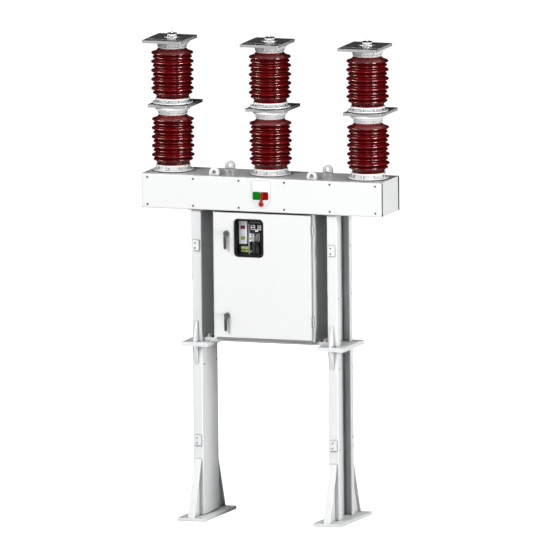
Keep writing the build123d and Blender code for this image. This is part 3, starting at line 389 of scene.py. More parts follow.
class Workshop:
    """Makes the shared shader groups once, and a material for each finish."""

    patch_scale: float = 3.0
    patch_edges: Point = (0.32, 0.68)
    speckle_scale: float = 160.0
    brushed_draw: tuple[float, float, float] = (0.04, 1.0, 1.0)
    turned_draw: tuple[float, float, float] = (0.1, 0.1, 1.0)
    edge_turn: Point = (0.995, 0.80)
    chip_scale: float = 60.0
    chip_edges: Point = (0.42, 0.62)
    cloud_scale: float = 7.0
    lying: Point = (0.2, 1.0)
    hanging: Point = (0.10, -0.45)
    level: Point = (0.90, 0.97)
    openness: Point = (0.85, 0.30)
    # Colour of the faces that look up: polish, and painted shade that darkens them.
    polished_top_shade_colour: Colour = (0.50, 0.50, 0.51)
    polished_roughness: float = 0.18
    polished_metallic: float = 0.72
    rays: int = 6
    shade_reach: float = 130 * MM
    dust_colour: Colour = (0.40, 0.40, 0.39)
    # Share of the base colour left in the darkest painted shade of corners and undersides.
    painted_shade_tone: float = 0.12
    shadow: float = 0.25
    gloss_limit: float = 0.4
    coat_roughness: float = 0.08

    def __init__(self) -> None:
        """Builds the shader groups."""
        self.materials: dict[str, Material] = {}
        self.drift = self._drift_group()
        self.relief = {grain: self._relief_group(grain) for grain in Grain}
        self.edge_wear_and_highlight = self._edge_wear_and_highlight_group()
        self.dust = self._dust_group()
        self.corner_shade = self._corner_shade_group()
        self.under = self._underside_shade_group()
        self.top_polish_and_shade = self._top_polish_and_shade_group()

    def _drift_group(self) -> ShaderGroup:
        """Makes soft patches of tone, with fine speckle, out of an object's own coordinates.

        Returns:
            The group.
        """
        sockets = {"Coordinates": "Vector", "Patch Scale": "Float", "Speckle Scale": "Float"}
        group = ShaderGroup("tone_drift", sockets, {"Patches": "Float", "Speckle": "Float"})
        tree, place = group.tree, group.given["Coordinates"]
        patches = wired(tree, "TexNoise", {"Vector": place, "Scale": group.given["Patch Scale"],
                                           "Detail": 4.0, "Roughness": 0.6})
        speckle = wired(tree, "TexNoise", {"Vector": place, "Scale": group.given["Speckle Scale"],
                                           "Detail": 2.0})
        group.put("Patches", ramp(tree, patches["Fac"], self.patch_edges))
        group.put("Speckle", speckle["Fac"])
        return group

    def _relief_group(self, grain: Grain) -> ShaderGroup:
        """Makes the height of one kind of fine relief, from 0 to 1.

        Args:
            grain: Kind of relief.

        Returns:
            The group.
        """
        group = ShaderGroup(f"relief_{grain.value}", {"Coordinates": "Vector", "Scale": "Float"},
                            {"Height": "Float"})
        tree, place, scale = group.tree, group.given["Coordinates"], group.given["Scale"]
        drawn = {Grain.BRUSHED: self.brushed_draw, Grain.TURNED: self.turned_draw}.get(grain, (1.0, 1.0, 1.0))
        stretch = wired(tree, "Mapping", {"Vector": place, "Scale": drawn})["Vector"]
        detail = 1.0 if grain is Grain.GLAZED else 3.0
        height = wired(tree, "TexNoise", {"Vector": stretch, "Scale": scale, "Detail": detail})["Fac"]
        if grain is Grain.CAST:
            pits = wired(tree, "TexVoronoi", {"Vector": stretch, "Scale": scale})
            height = product(tree, height, pits["Distance"])
        group.put("Height", height)
        return group

    def _edge_wear_and_highlight_group(self) -> ShaderGroup:
        """Rounds sharp edges for the light, and marks them, broken by noise, for the edge colour: worn paint,
        and on the structure paint a painted edge highlight.

        Returns:
            The group.
        """
        group = ShaderGroup("edge_wear_and_painted_highlight", {"Coordinates": "Vector", "Radius": "Float"},
                            {"Normal": "Vector", "Mask": "Float"})
        tree = group.tree
        rounding = wired(tree, "Bevel", {"Radius": group.given["Radius"]}, samples=self.rays)["Normal"]
        surface = wired(tree, "NewGeometry", {})["Normal"]
        turn = wired(tree, "VectorMath", {0: rounding, 1: surface}, operation="DOT_PRODUCT")["Value"]
        chips = wired(tree, "TexNoise", {"Vector": group.given["Coordinates"], "Scale": self.chip_scale,
                                         "Detail": 6.0})
        broken = ramp(tree, chips["Fac"], self.chip_edges)
        group.put("Normal", rounding)
        group.put("Mask", product(tree, ramp(tree, turn, self.edge_turn), broken))
        return group

    def _dust_group(self) -> ShaderGroup:
        """Marks where dust settles: on faces that look up, in uneven patches.

        Returns:
            The group.
        """
        group = ShaderGroup("settled_dust", {"Coordinates": "Vector"}, {"Mask": "Float"})
        tree = group.tree
        clouds = wired(tree, "TexNoise", {"Vector": group.given["Coordinates"], "Scale": self.cloud_scale,
                                          "Detail": 5.0})
        group.put("Mask", product(tree, ramp(tree, upward(tree), self.lying), clouds["Fac"]))
        return group

    def _corner_shade_group(self) -> ShaderGroup:
        """Marks inner corners, gaps and recesses by how closed in they are, for painted shade.

        Returns:
            The group.
        """
        group = ShaderGroup("painted_corner_shade", {"Reach": "Float"}, {"Mask": "Float"})
        around = wired(group.tree, "AmbientOcclusion", {"Distance": group.given["Reach"]}, samples=self.rays)
        group.put("Mask", ramp(group.tree, around["AO"], self.openness))
        return group

    def _underside_shade_group(self) -> ShaderGroup:
        """Marks the faces that look down, for painted shade.

        Returns:
            The group.
        """
        group = ShaderGroup("shaded_undersides", {}, {"Mask": "Float"})
        group.put("Mask", ramp(group.tree, upward(group.tree), self.hanging))
        return group

    def _top_polish_and_shade_group(self) -> ShaderGroup:
        """Marks the polished faces that look up, and gives their colour, darker as painted shade, their
        roughness and metal value.

        Returns:
            The group.
        """
        sockets = {"Colour": "Color", "Roughness": "Float", "Metallic": "Float"}
        group = ShaderGroup("contact_polish_and_top_shade", sockets, sockets)
        tree, mask = group.tree, ramp(group.tree, upward(group.tree), self.level)
        group.put("Colour", mixed(tree, mask, group.given["Colour"], self.polished_top_shade_colour))
        for name, polished in (("Roughness", self.polished_roughness), ("Metallic", self.polished_metallic)):
            blend = wired(tree, "Mix", {"Factor": mask, "A": group.given[name], "B": polished})
            group.put(name, blend["Result"])
        return group

    def material(self, finish: Finish) -> Material:
        """Returns the material of a finish, made on its first use.

        Args:
            finish: The finish.

        Returns:
            The material.
        """
        if finish.name not in self.materials:
            self.materials[finish.name] = self._new_material(finish)
        return self.materials[finish.name]

    def _new_material(self, finish: Finish) -> Material:
        """Makes the material of a finish.

        Args:
            finish: The finish.

        Returns:
            The material.
        """
        material = bpy.data.materials.new(finish.name)
        material.use_nodes = True
        tree = material.node_tree
        shader = tree.nodes["Principled BSDF"].inputs
        place = wired(tree, "TexCoord", {})["Object"]
        drift = self.drift.place(tree, Coordinates=place, Patch_Scale=self.patch_scale,
                                 Speckle_Scale=self.speckle_scale)
        edge_wear_and_highlight = self.edge_wear_and_highlight.place(tree, Coordinates=place, Radius=finish.edge_radius)
        marks = [(drift["Patches"], finish.drift, finish.second)]
        # Worn edges, and on the structure paint a painted edge highlight.
        if finish.edge_wear_and_highlight:
            marks.append((edge_wear_and_highlight["Mask"], finish.edge_wear_and_highlight, finish.bare))
        if finish.dust:
            dust = self.dust.place(tree, Coordinates=place)
            marks.append((dust["Mask"], finish.dust, self.dust_colour))
        # Painted shade in inner corners and gaps.
        if finish.corner_shade:
            corner_shade = self.corner_shade.place(tree, Reach=finish.corner_shade_reach)
            marks.append((corner_shade["Mask"], finish.corner_shade, finish.darker(self.painted_shade_tone)))
        # Painted shade in deep recesses.
        if finish.shade:
            recess = self.corner_shade.place(tree, Reach=self.shade_reach)
            marks.append((recess["Mask"], finish.shade, finish.darker(self.shadow)))
        # Painted shade on faces that look down; the coat is also taken off where the corners are shaded.
        if finish.under:
            marks.append((self.under.place(tree)["Mask"], finish.under, finish.darker(self.painted_shade_tone)))
            coat = ramp(tree, corner_shade["Mask"], (0.0, self.gloss_limit), (finish.coat, 0.0))
            tree.links.new(coat, shader["Coat Weight"])
        colour = finish.colour
        for mask, amount, other in marks:
            colour = mixed(tree, ramp(tree, mask, wanted=(0.0, amount)), colour, other)
        gloss = ramp(tree, drift["Speckle"],
                     wanted=(finish.roughness - finish.spread, finish.roughness + finish.spread))
        # Faces that look up: polished, and painted darker as shade.
        if finish.top_polish_and_shade:
            top_polish_and_shade = self.top_polish_and_shade.place(tree, Colour=colour, Roughness=gloss, Metallic=finish.metallic)
            colour, gloss = top_polish_and_shade["Colour"], top_polish_and_shade["Roughness"]
            tree.links.new(top_polish_and_shade["Metallic"], shader["Metallic"])
        relief = self.relief[finish.grain].place(tree, Coordinates=place, Scale=1.0 / finish.grain_size)
        bump = wired(tree, "Bump", {"Distance": finish.grain_depth, "Height": relief["Height"],
                                    "Normal": edge_wear_and_highlight["Normal"]})
        for name, socket in (("Base Color", colour), ("Roughness", gloss), ("Normal", bump["Normal"])):
            tree.links.new(socket, shader[name])
        shader["Metallic"].default_value = finish.metallic
        shader["Specular Tint"].default_value = (*finish.tint, 1.0)
        shader["Coat Weight"].default_value = finish.coat
        shader["Coat Roughness"].default_value = self.coat_roughness
        return material

    def glass(self, finish: GlassFinish) -> Material:
        """Makes clear glass, a little dusty, that shows what lies behind it.

        Args:
            finish: Its finish.

        Returns:
            The material.
        """
        material = bpy.data.materials.new(finish.name)
        material.use_nodes = True
        tree = material.node_tree
        shader = tree.nodes["Principled BSDF"].inputs
        place = wired(tree, "TexCoord", {})["Object"]
        drift = self.drift.place(tree, Coordinates=place, Patch_Scale=finish.patch_scale,
                                 Speckle_Scale=finish.speckle_scale)
        tree.links.new(ramp(tree, drift["Patches"], wanted=finish.roughness), shader["Roughness"])
        tree.links.new(mixed(tree, drift["Speckle"], finish.colour, finish.second), shader["Base Color"])
        shader["Transmission Weight"].default_value = 1.0
        shader["IOR"].default_value = finish.bending
        return material


# Forms


def meshed(shape: bmesh.types.BMesh, name: str) -> Mesh:
    """Turns a finished shape into a mesh, its faces looking outwards.

    Args:
        shape: The shape, which is freed.
        name: Name of the mesh.

    Returns:
        The mesh.
    """
    bmesh.ops.recalc_face_normals(shape, faces=shape.faces)
    mesh = bpy.data.meshes.new(name)
    shape.to_mesh(mesh)
    shape.free()
    return mesh


def rounded(points: Sequence[Point], radii: Sequence[float], steps: int = 4) -> Profile:
    """Rounds the corners of an open outline with arcs.

    Args:
        points: Corners of the outline.
        radii: Radius at each corner; 0 leaves it sharp, and the ends are never rounded.
        steps: Straight steps in each arc.

    Returns:
        The outline's points.
    """
    outline: Profile = [points[0]]
    for index in range(1, len(points) - 1):
        corner = Vector(points[index])
        back, ahead = Vector(points[index - 1]) - corner, Vector(points[index + 1]) - corner
        turn = back.angle(ahead)
        reach = radii[index] / math.tan(turn / 2) if radii[index] else 0.0
        reach = min(reach, 0.45 * back.length, 0.45 * ahead.length)
        if reach <= 0.0:
            outline.append(tuple(corner))
            continue
        start, end = corner + back.normalized() * reach, corner + ahead.normalized() * reach
        radius = reach * math.tan(turn / 2)
        inward = (back.normalized() + ahead.normalized()).normalized()
        middle = corner + inward * (radius / math.sin(turn / 2))
        arm = start - middle
        sweep = arm.angle_signed(end - middle)
        outline += [tuple(middle + Matrix.Rotation(-sweep * step / steps, 2) @ arm)
                    for step in range(steps + 1)]
    outline.append(points[-1])
    return outline


def turned(profile: Profile, segments: int) -> Mesh:
    """Turns a profile round +Z into a closed form.

    Args:
        profile: Radius and height of each point.
        segments: Number of flats round the form.

    Returns:
        The mesh.
    """
    shape = bmesh.new()
    rings: list[list[bmesh.types.BMVert]] = []
    for radius, height in profile:
        angles = [math.tau * i / segments for i in range(segments)] if radius > 1e-7 else [0.0]
        rings.append([shape.verts.new((radius * math.cos(angle), radius * math.sin(angle), height))
                      for angle in angles])
    for low, high in zip(rings, rings[1:]):
        for i in range(segments):
            j = (i + 1) % segments
            corners = [low[i % len(low)], low[j % len(low)], high[j % len(high)], high[i % len(high)]]
            corners = list(dict.fromkeys(corners))
            if len(corners) > 2:
                shape.faces.new(corners)
    return meshed(shape, "turned")


def pressed(outline: Profile, depth: float, edge: float = 0.0, steps: int = 2) -> Mesh:
    """Raises a closed outline along +Z and rounds the edges of its top.

    Args:
        outline: Corners in order, without repeating the first.
        depth: Height of the form.
        edge: Radius of the top's edge.
        steps: Steps of that radius.

    Returns:
        The mesh.
    """
    shape = bmesh.new()
    floor = [shape.verts.new((x, y, 0.0)) for x, y in outline]
    roof = [shape.verts.new((x, y, depth)) for x, y in outline]
    shape.faces.new(list(reversed(floor)))
    top = shape.faces.new(roof)
    for i in range(len(outline)):
        j = (i + 1) % len(outline)
        shape.faces.new((floor[i], floor[j], roof[j], roof[i]))
    if edge:
        bmesh.ops.bevel(shape, geom=list(top.edges), offset=edge, segments=steps, profile=0.5,
                        affect="EDGES")
    return meshed(shape, "pressed")


def skinned(rows: Sequence[Sequence[Vector]], name: str) -> Mesh:
    """Closes a form over cross sections that have the same number of corners.

    Args:
        rows: Corners of each cross section, from one end to the other.
        name: Name of the mesh.

    Returns:
        The mesh.
    """
    shape = bmesh.new()
    rings = [[shape.verts.new(corner) for corner in row] for row in rows]
    for low, high in zip(rings, rings[1:]):
        for i in range(len(low)):
            j = (i + 1) % len(low)
            shape.faces.new((low[i], low[j], high[j], high[i]))
    shape.faces.new(list(reversed(rings[0])))
    shape.faces.new(rings[-1])
    return meshed(shape, name)


def box_outline(width: float, height: float, radius: float, steps: int = 4) -> Profile:
    """Returns the outline of a rounded rectangle about the origin.

    Args:
        width: Length along X.
        height: Length along Y.
        radius: Radius of the corners.
        steps: Straight steps in each corner.

    Returns:
        The outline's points.
    """
    x, y = width / 2 - radius, height / 2 - radius
    points: Profile = []
    for centre, start in (((x, -y), -90), ((x, y), 0), ((-x, y), 90), ((-x, -y), 180)):
        for step in range(steps + 1):
            angle = math.radians(start + 90 * step / steps)
            points.append((centre[0] + radius * math.cos(angle), centre[1] + radius * math.sin(angle)))
    return points


def ring_profile(inner: float, outer: float, height: float,
                 radii: Sequence[float] = (0, 0, 0, 0)) -> Profile:
    """Returns the half section of a flat ring, or of a disc, with its corners rounded by the radii."""
    return rounded([(inner, 0), (outer, 0), (outer, height), (inner, height)], radii)


def at(point: Sequence[float], facing: Facing = Facing.UP, turn: float = 0.0) -> Matrix:
    """Returns the matrix that stands a form on a point, its +Z along a direction and turned about it."""
    turning = Vector(facing.value).to_track_quat("Z", "Y").to_matrix().to_4x4()
    return Matrix.Translation(point) @ turning @ Matrix.Rotation(turn, 4, "Z")


class Piece:
    """A mesh under construction, gathered from copies of small forms."""

    def __init__(self, name: str) -> None:
        """Starts an empty piece."""
        self.name = name
        self.shape = bmesh.new()

    def add(self, form: Mesh, *places: Matrix) -> "Piece":
        """Adds copies of a form.

        Args:
            form: The form.
            places: Place of each copy; with none given it goes where it is.

        Returns:
            The piece itself.
        """
        for place in places or (Matrix(),):
            copy = form.copy()
            copy.transform(place)
            self.shape.from_mesh(copy)
            bpy.data.meshes.remove(copy)
        return self

    def form(self) -> Mesh:
        """Returns what was gathered as one form."""
        return meshed(self.shape, self.name)

    def done(self, material: Material, body: str, sharp: float) -> Object:
        """Makes the object, with its material and body.

        Args:
            material: Material of the whole piece.
            body: Body that the piece rides on.
            sharp: Edges that turn by more than this many degrees stay sharp.

        Returns:
            The object.
        """
        mesh = bpy.data.meshes.new(self.name)
        self.shape.to_mesh(mesh)
        self.shape.free()
        mesh.materials.append(material)
        mesh.shade_smooth()
        mesh.set_sharp_from_angle(angle=math.radians(sharp))
        piece = bpy.data.objects.new(self.name, mesh)
        bpy.context.scene.collection.objects.link(piece)
        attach(piece, body)
        LOG.info("%s: %d faces on %s", self.name, len(mesh.polygons), body)
        return piece


@dataclass(frozen=True)
class NodeBox:
    """Place of a CAD node, from its lowest to its highest corner."""

    low: Vector
    high: Vector

    @classmethod
    def of(cls, node: str) -> "NodeBox":
        """Reads the box of a node."""
        low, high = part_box(node)
        return cls(Vector(low), Vector(high))

    @property
    def middle(self) -> Vector:
        """The centre of the box."""
        return (self.low + self.high) / 2

    @property
    def size(self) -> Vector:
        """The lengths of the box's sides."""
        return self.high - self.low


@dataclass(frozen=True)
class Plate:
    """A flat rectangular part with rounded corners and a rounded upper edge."""

    width: float
    height: float
    depth: float
    corner: float = 1 * MM
    edge: float = 0.6 * MM
    steps: int = 2

    def form(self) -> Mesh:
        """Raises the plate along +Z."""
        return pressed(box_outline(self.width, self.height, self.corner), self.depth, self.edge, self.steps)


@dataclass(frozen=True)
class Bolt:
    """A hexagon head, its washer and, where it shows, the end of its shank."""

    across_flats: float
    head_height: float
    washer_radius: float
    washer_thickness: float
    shank_radius: float = 0.0
    shank_length: float = 0.0

    def head(self) -> Mesh:
        """Makes the washer, the chamfered hexagon and the shank's end as one form.

        Returns:
            The mesh.
        """
        flat, base = self.across_flats / 2, self.washer_thickness
        corner, top = flat / math.cos(math.pi / 6), base + self.head_height
        washer = turned([(0, 0), (self.washer_radius, 0), (self.washer_radius, base * 0.7),
                         (self.washer_radius - base * 0.3, base), (0, base)], 24)
        hexagon = turned([(0, base), (corner, base), (corner, top - 0.12 * self.head_height),
                          (flat * 0.97, top), (0, top)], 6)
        piece = Piece("bolt").add(washer).add(hexagon)
        if self.shank_length:
            end, radius = top + self.shank_length, self.shank_radius
            piece.add(turned([(0, top), (radius, top), (radius, end - 0.15 * radius), (radius * 0.8, end),
                              (0, end)], 16))
        return piece.form()


@dataclass(frozen=True)
class Screw:
    """A low button-head screw with a hexagon socket."""

    radius: float
    height: float

    def head(self) -> Mesh:
        """Makes the domed head with its socket.

        Returns:
            The mesh.
        """
        socket = self.radius * 0.45
        return turned([(0, 0), (self.radius, 0), (self.radius * 0.97, self.height * 0.45),
                       (self.radius * 0.75, self.height * 0.85), (socket * 1.1, self.height),
                       (socket * 0.95, self.height * 0.92), (socket * 0.85, self.height * 0.3),
                       (0, self.height * 0.3)], 18)


def weld_bead(length: float, leg: float) -> Mesh:
    """Makes a rippled fillet weld that runs along +X in the corner of +Y and +Z.

    Args:
        length: Length of the bead.
        leg: Length of its legs.

    Returns:
        The mesh.
    """
    steps = max(6, int(length / (leg * 1.2)))
    section = ((0, 0), (1.0, 0), (0.62, 0.62), (0, 1.0))
    rows = []
    for i in range(steps + 1):
        swell = leg * (0.82 + 0.18 * math.sin(i * math.pi * 0.9)) * (0.45 if i in (0, steps) else 1.0)
        x = length * (i / steps - 0.5)
        rows.append([Vector((x, y * swell, z * swell)) for y, z in section])
    return skinned(rows, "weld")


@dataclass
class SubAssembly:
    """A part of the breaker that dresses its pieces in the workshop's finishes."""

    workshop: Workshop

    def fit(self, piece: Piece, finish: Finish, slot: str, body: str = FRAME_BODY,
            sharp: float = 35.0) -> Object:
        """Finishes a piece, fits it to its body and returns it; edges over the sharp angle stay sharp."""
        return piece.done(self.workshop.material(finish), body, sharp)

    def front(self, name: str, plate: Plate, point: Sequence[float], finish: Finish, slot: str) -> None:
        """Sets a plate on a point so that it faces the front, and fits it to the frame."""
        self.fit(Piece(name).add(plate.form(), at(point, Facing.FRONT)), finish, slot)


# Poles


@dataclass
class Insulators(SubAssembly):
    """One row of ribbed porcelain insulators, turned smooth, in place of a CAD node.

    Args:
        node: The CAD node.
        poles: Places of the poles along the crossarm.
        small_drop: How far a small shed lies under its big one, as a share of the sheds' pitch.
        small_root_drop: How far the valley under a small shed lies below it, as such a share.
        small_root_rise: How far the valley over a small shed lies above it, as such a share.
        tip_lift: How far a corner stands past a shed's rounded tip, as a share of the tip's radius.
    """

    node: str
    poles: Sequence[float]
    foot_radius: float = 111 * MM
    head_radius: float = 94 * MM
    end_radius: float = 2 * MM
    core_radius: float = 113 * MM
    big_radius: float = 147 * MM
    small_radius: float = 133 * MM
    first_shed: float = 62.0 * MM
    last_shed: float = 33.8 * MM
    pairs: int = 5
    small_drop: float = 0.445
    small_root_drop: float = 0.243
    small_root_rise: float = 0.219
    tip: float = 6.0 * MM
    tip_lift: float = 1.3
    tip_reach: float = 3.0 * MM
    valley: float = 7.0 * MM
    segments: int = 112

    def profile(self, bottom: float, top: float) -> Profile:
        """Draws the half section of an insulator.

        Args:
            bottom: Height of its foot.
            top: Height of its head.

        Returns:
            The section's points.
        """
        pitch = (top - bottom - self.first_shed - self.last_shed) / (self.pairs - 1)
        lift = self.tip * self.tip_lift + self.tip_reach
        below, above = self.small_root_drop * pitch, self.small_root_rise * pitch
        points: Profile = [(0.0, bottom), (self.foot_radius, bottom)]
        for pair in range(self.pairs):
            big = bottom + self.first_shed + pair * pitch
            small = big - self.small_drop * pitch
            points += [(self.core_radius, small - below), (self.small_radius + lift, small),
                       (self.core_radius, small + above), (self.big_radius + lift, big)]
        points += [(self.core_radius, big + below), (self.head_radius, top), (0.0, top)]
        sheds = [self.valley, self.tip] * (2 * self.pairs)
        return rounded(points, [0.0, self.end_radius, *sheds, self.valley, self.end_radius, 0.0], steps=8)

    def build(self) -> None:
        """Builds the row of insulators."""
        box = NodeBox.of(self.node)
        form = turned(self.profile(box.low.z, box.high.z), self.segments)
        piece = Piece(f"{self.node}_glazed").add(form, *[Matrix.Translation((x, 0, 0)) for x in self.poles])
        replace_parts(self.fit(piece, PORCELAIN_GLAZE, "glazed_porcelain", sharp=60), self.node)


@dataclass
class Castings(SubAssembly):
    """The castings at the insulators' ends, with rounded rims, recessed panels and ribs."""

    poles: Sequence[float]
    foot_levels: Sequence[tuple[float, float]]
    cap_levels: Sequence[tuple[float, float]]
    flange_radius: float = 140 * MM
    flange_thickness: float = 9 * MM
    neck_radius: float = 110 * MM
    rim_radius: float = 119 * MM
    rim_height: float = 12 * MM
    cap_foot_radius: float = 96 * MM
    cap_top_radius: float = 120 * MM
    cap_rim_height: float = 19 * MM
    shadow_gasket_radius: float = 142 * MM
    shadow_gasket_thickness: float = 4 * MM
    cap_band: float = 12 * MM
    panel_depth: float = 7 * MM
    rim_slope: float = 2.5 * MM
    cap_band_slope: float = 1 * MM
    cap_rim_slope: float = 3 * MM
    foot_rounding: Sequence[float] = (0, 1 * MM, 3.5 * MM, 5 * MM, 2 * MM, 2 * MM, 4.5 * MM, 0)
    cap_rounding: Sequence[float] = (0, 2 * MM, 1 * MM, 1 * MM, 1 * MM, 1 * MM, 1.5 * MM, 0)
    foot_rib_stand: Point = (13 * MM, 8 * MM)
    cap_rib_stand: float = 4 * MM
    rib_width: float = 8 * MM
    rib_round: float = 2 * MM
    rib_root: float = 10 * MM
    rib_count: int = 8
    segments: int = 96

    def foot(self, height: float) -> Mesh:
        """Turns a foot: a flange, a neck with recessed panels and a thick rounded rim.

        Args:
            height: Height of the foot.

        Returns:
            The mesh.
        """
        rim_low = height - self.rim_height
        points = [(0, 0), (self.flange_radius, 0), (self.flange_radius, self.flange_thickness),
                  (self.neck_radius, self.flange_thickness), (self.neck_radius, rim_low - self.rim_slope),
                  (self.rim_radius, rim_low), (self.rim_radius, height), (0, height)]
        return turned(rounded(points, self.foot_rounding), self.segments)

    def cap(self, height: float) -> Mesh:
        """Turns a cap that flares up to its terminal.

        Args:
            height: Height of the cap.

        Returns:
            The mesh.
        """
        rim_low = height - self.cap_rim_height
        slope = (self.cap_top_radius - self.cap_foot_radius) / rim_low
        band, sunk = self.cap_band, self.panel_depth
        points = [(0, 0), (self.cap_foot_radius, 0), (self.cap_foot_radius + slope * band, band),
                  (self.cap_foot_radius + slope * band - sunk, band + self.cap_band_slope),
                  (self.cap_top_radius - slope * self.cap_rim_slope - sunk, rim_low - self.cap_rim_slope),
                  (self.cap_top_radius, rim_low), (self.cap_top_radius, height), (0, height)]
        return turned(rounded(points, self.cap_rounding), self.segments)

    def rib(self, low: float, high: float, foot_radius: float, top_radius: float) -> Mesh:
        """Makes one rib with a rounded face, leaning from one radius to another.

        Args:
            low: Height of its foot.
            high: Height of its top.
            foot_radius: Distance of its face from the axis at the foot.
            top_radius: The same at the top.

        Returns:
            The mesh.
        """
        half, inside = self.rib_width / 2, min(foot_radius, top_radius) - self.rib_root
        rows = []
        for height, radius in ((low, foot_radius), (high, top_radius)):
            face = ((inside, -half), (radius - self.rib_round, -half), (radius, -half * 0.45),
                    (radius, half * 0.45), (radius - self.rib_round, half), (inside, half))
            rows.append([Vector((x, y, height)) for x, y in face])
        return skinned(rows, "rib")

    def row(self, piece: Piece, body: Mesh, rib: Mesh, level: float) -> None:
        """Sets a ribbed casting on each pole.

        Args:
            piece: Piece that they are added to.
            body: The turned casting.
            rib: One of its ribs.
            level: Height that they stand on.
        """
        ring = [math.tau * i / self.rib_count - math.pi / 2 for i in range(self.rib_count)]
        for x in self.poles:
            piece.add(body, at((x, 0, level)))
            piece.add(rib, *[at((x, 0, level), turn=angle) for angle in ring])

    def build(self) -> None:
        """Builds the feet, the dark seals under them, which also paint the shadow line under the flanges, and
        the caps.
        """
        feet, caps, shadow_gaskets = Piece("foot_castings_cast"), Piece("cap_castings_cast"), Piece("foot_shadow_gaskets")
        shadow_gasket = turned(ring_profile(0, self.shadow_gasket_radius, self.shadow_gasket_thickness), self.segments)
        for level, high in self.foot_levels:
            shadow_gaskets.add(shadow_gasket, *[at((x, 0, level)) for x in self.poles])
            low = level + self.shadow_gasket_thickness
            height = high - low
            rib = self.rib(self.flange_thickness * 0.6, height - self.rim_height * 0.5,
                           *(self.neck_radius + stand for stand in self.foot_rib_stand))
            self.row(feet, self.foot(height), rib, low)
        for low, high in self.cap_levels:
            height = high - low
            rib = self.rib(self.cap_rib_stand, height - self.cap_rim_height * 0.5,
                           self.cap_foot_radius + self.cap_rib_stand, self.cap_top_radius)
            self.row(caps, self.cap(height), rib, low)
        # Dark seals under the feet, which also paint the shadow line under the flanges.
        self.fit(shadow_gaskets, SEAL_RUBBER, "seal_rubber")
        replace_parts(self.fit(feet, CASTING_PAINT, "cast_flange_paint"), "foot_castings")
        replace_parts(self.fit(caps, CASTING_PAINT, "cast_flange_paint"), "cap_castings")


@dataclass
class TerminalStuds(SubAssembly):
    """The clamping stud on each top terminal: washer, nut, a dark disc on the nut that paints the shade and
    dark reflection of its top, and threaded end.
    """

    poles: Sequence[float]
    washer_radius: float = 55 * MM
    washer_thickness: float = 3 * MM
    across_flats: float = 58 * MM
    nut_height: float = 18 * MM
    stud_radius: float = 7 * MM
    dark_top_radius: float = 34 * MM
    dark_top_thickness: float = 3 * MM
    nut_chamfers: Point = (2 * MM, 2.5 * MM)
    nut_ends: Point = (0.93, 0.88)
    thread_pitch: float = 2.5 * MM
    thread_depth: float = 1.3 * MM
    end_chamfer: float = 2 * MM
    turn: float = 0.3

    def stud(self) -> Mesh:
        """Turns the washer and the threaded end, and sets the nut between them.

        Returns:
            The mesh.
        """
        end = NodeBox.of("terminal_studs").size.z
        base, nut_top = self.washer_thickness, self.washer_thickness + self.nut_height
        washer = turned(ring_profile(0, self.washer_radius, base, (0, 0.6 * MM, 1.2 * MM, 0)), 64)
        corner = self.across_flats / 2 / math.cos(math.pi / 6)
        (lower, upper), (start, end_share) = self.nut_chamfers, self.nut_ends
        nut = turned([(0, base), (corner * start, base), (corner, base + lower), (corner, nut_top - upper),
                      (corner * end_share, nut_top), (0, nut_top)], 6)
        radius, pitch = self.stud_radius, self.thread_pitch
        thread: Profile = [(0, nut_top - 1 * MM), (radius, nut_top - 1 * MM)]
        height = nut_top
        while height < end - 2 * pitch:
            thread += [(radius, height), (radius - self.thread_depth, height + pitch / 2)]
            height += pitch
        thread += [(radius, height), (radius - self.end_chamfer, end), (0, end)]
        return Piece("stud").add(washer).add(nut).add(turned(thread, 48)).form()

    def build(self) -> None:
        """Builds the studs and the dark discs on their nuts, which paint shade and dark reflection."""
        low = NodeBox.of("terminal_studs").low.z
        studs = Piece("terminal_studs_threaded")
        studs.add(self.stud(), *[at((x, 0, low), turn=self.turn) for x in self.poles])
        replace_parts(self.fit(studs, STUD_METAL, "stud_metal"), "terminal_studs")
        level = low + self.washer_thickness + self.nut_height
        dark_top_disc = turned(ring_profile(self.stud_radius, self.dark_top_radius, self.dark_top_thickness,
                                   (0, 0.5 * MM, 1 * MM, 0)), 48)
        dark_top_discs = Piece("stud_dark_top_discs").add(dark_top_disc, *[at((x, 0, level)) for x in self.poles])
        # Dark discs that paint the shade and dark reflection on the nuts' tops.
        self.fit(dark_top_discs, BLACK_OXIDE, "stud_metal")


# Crossarm


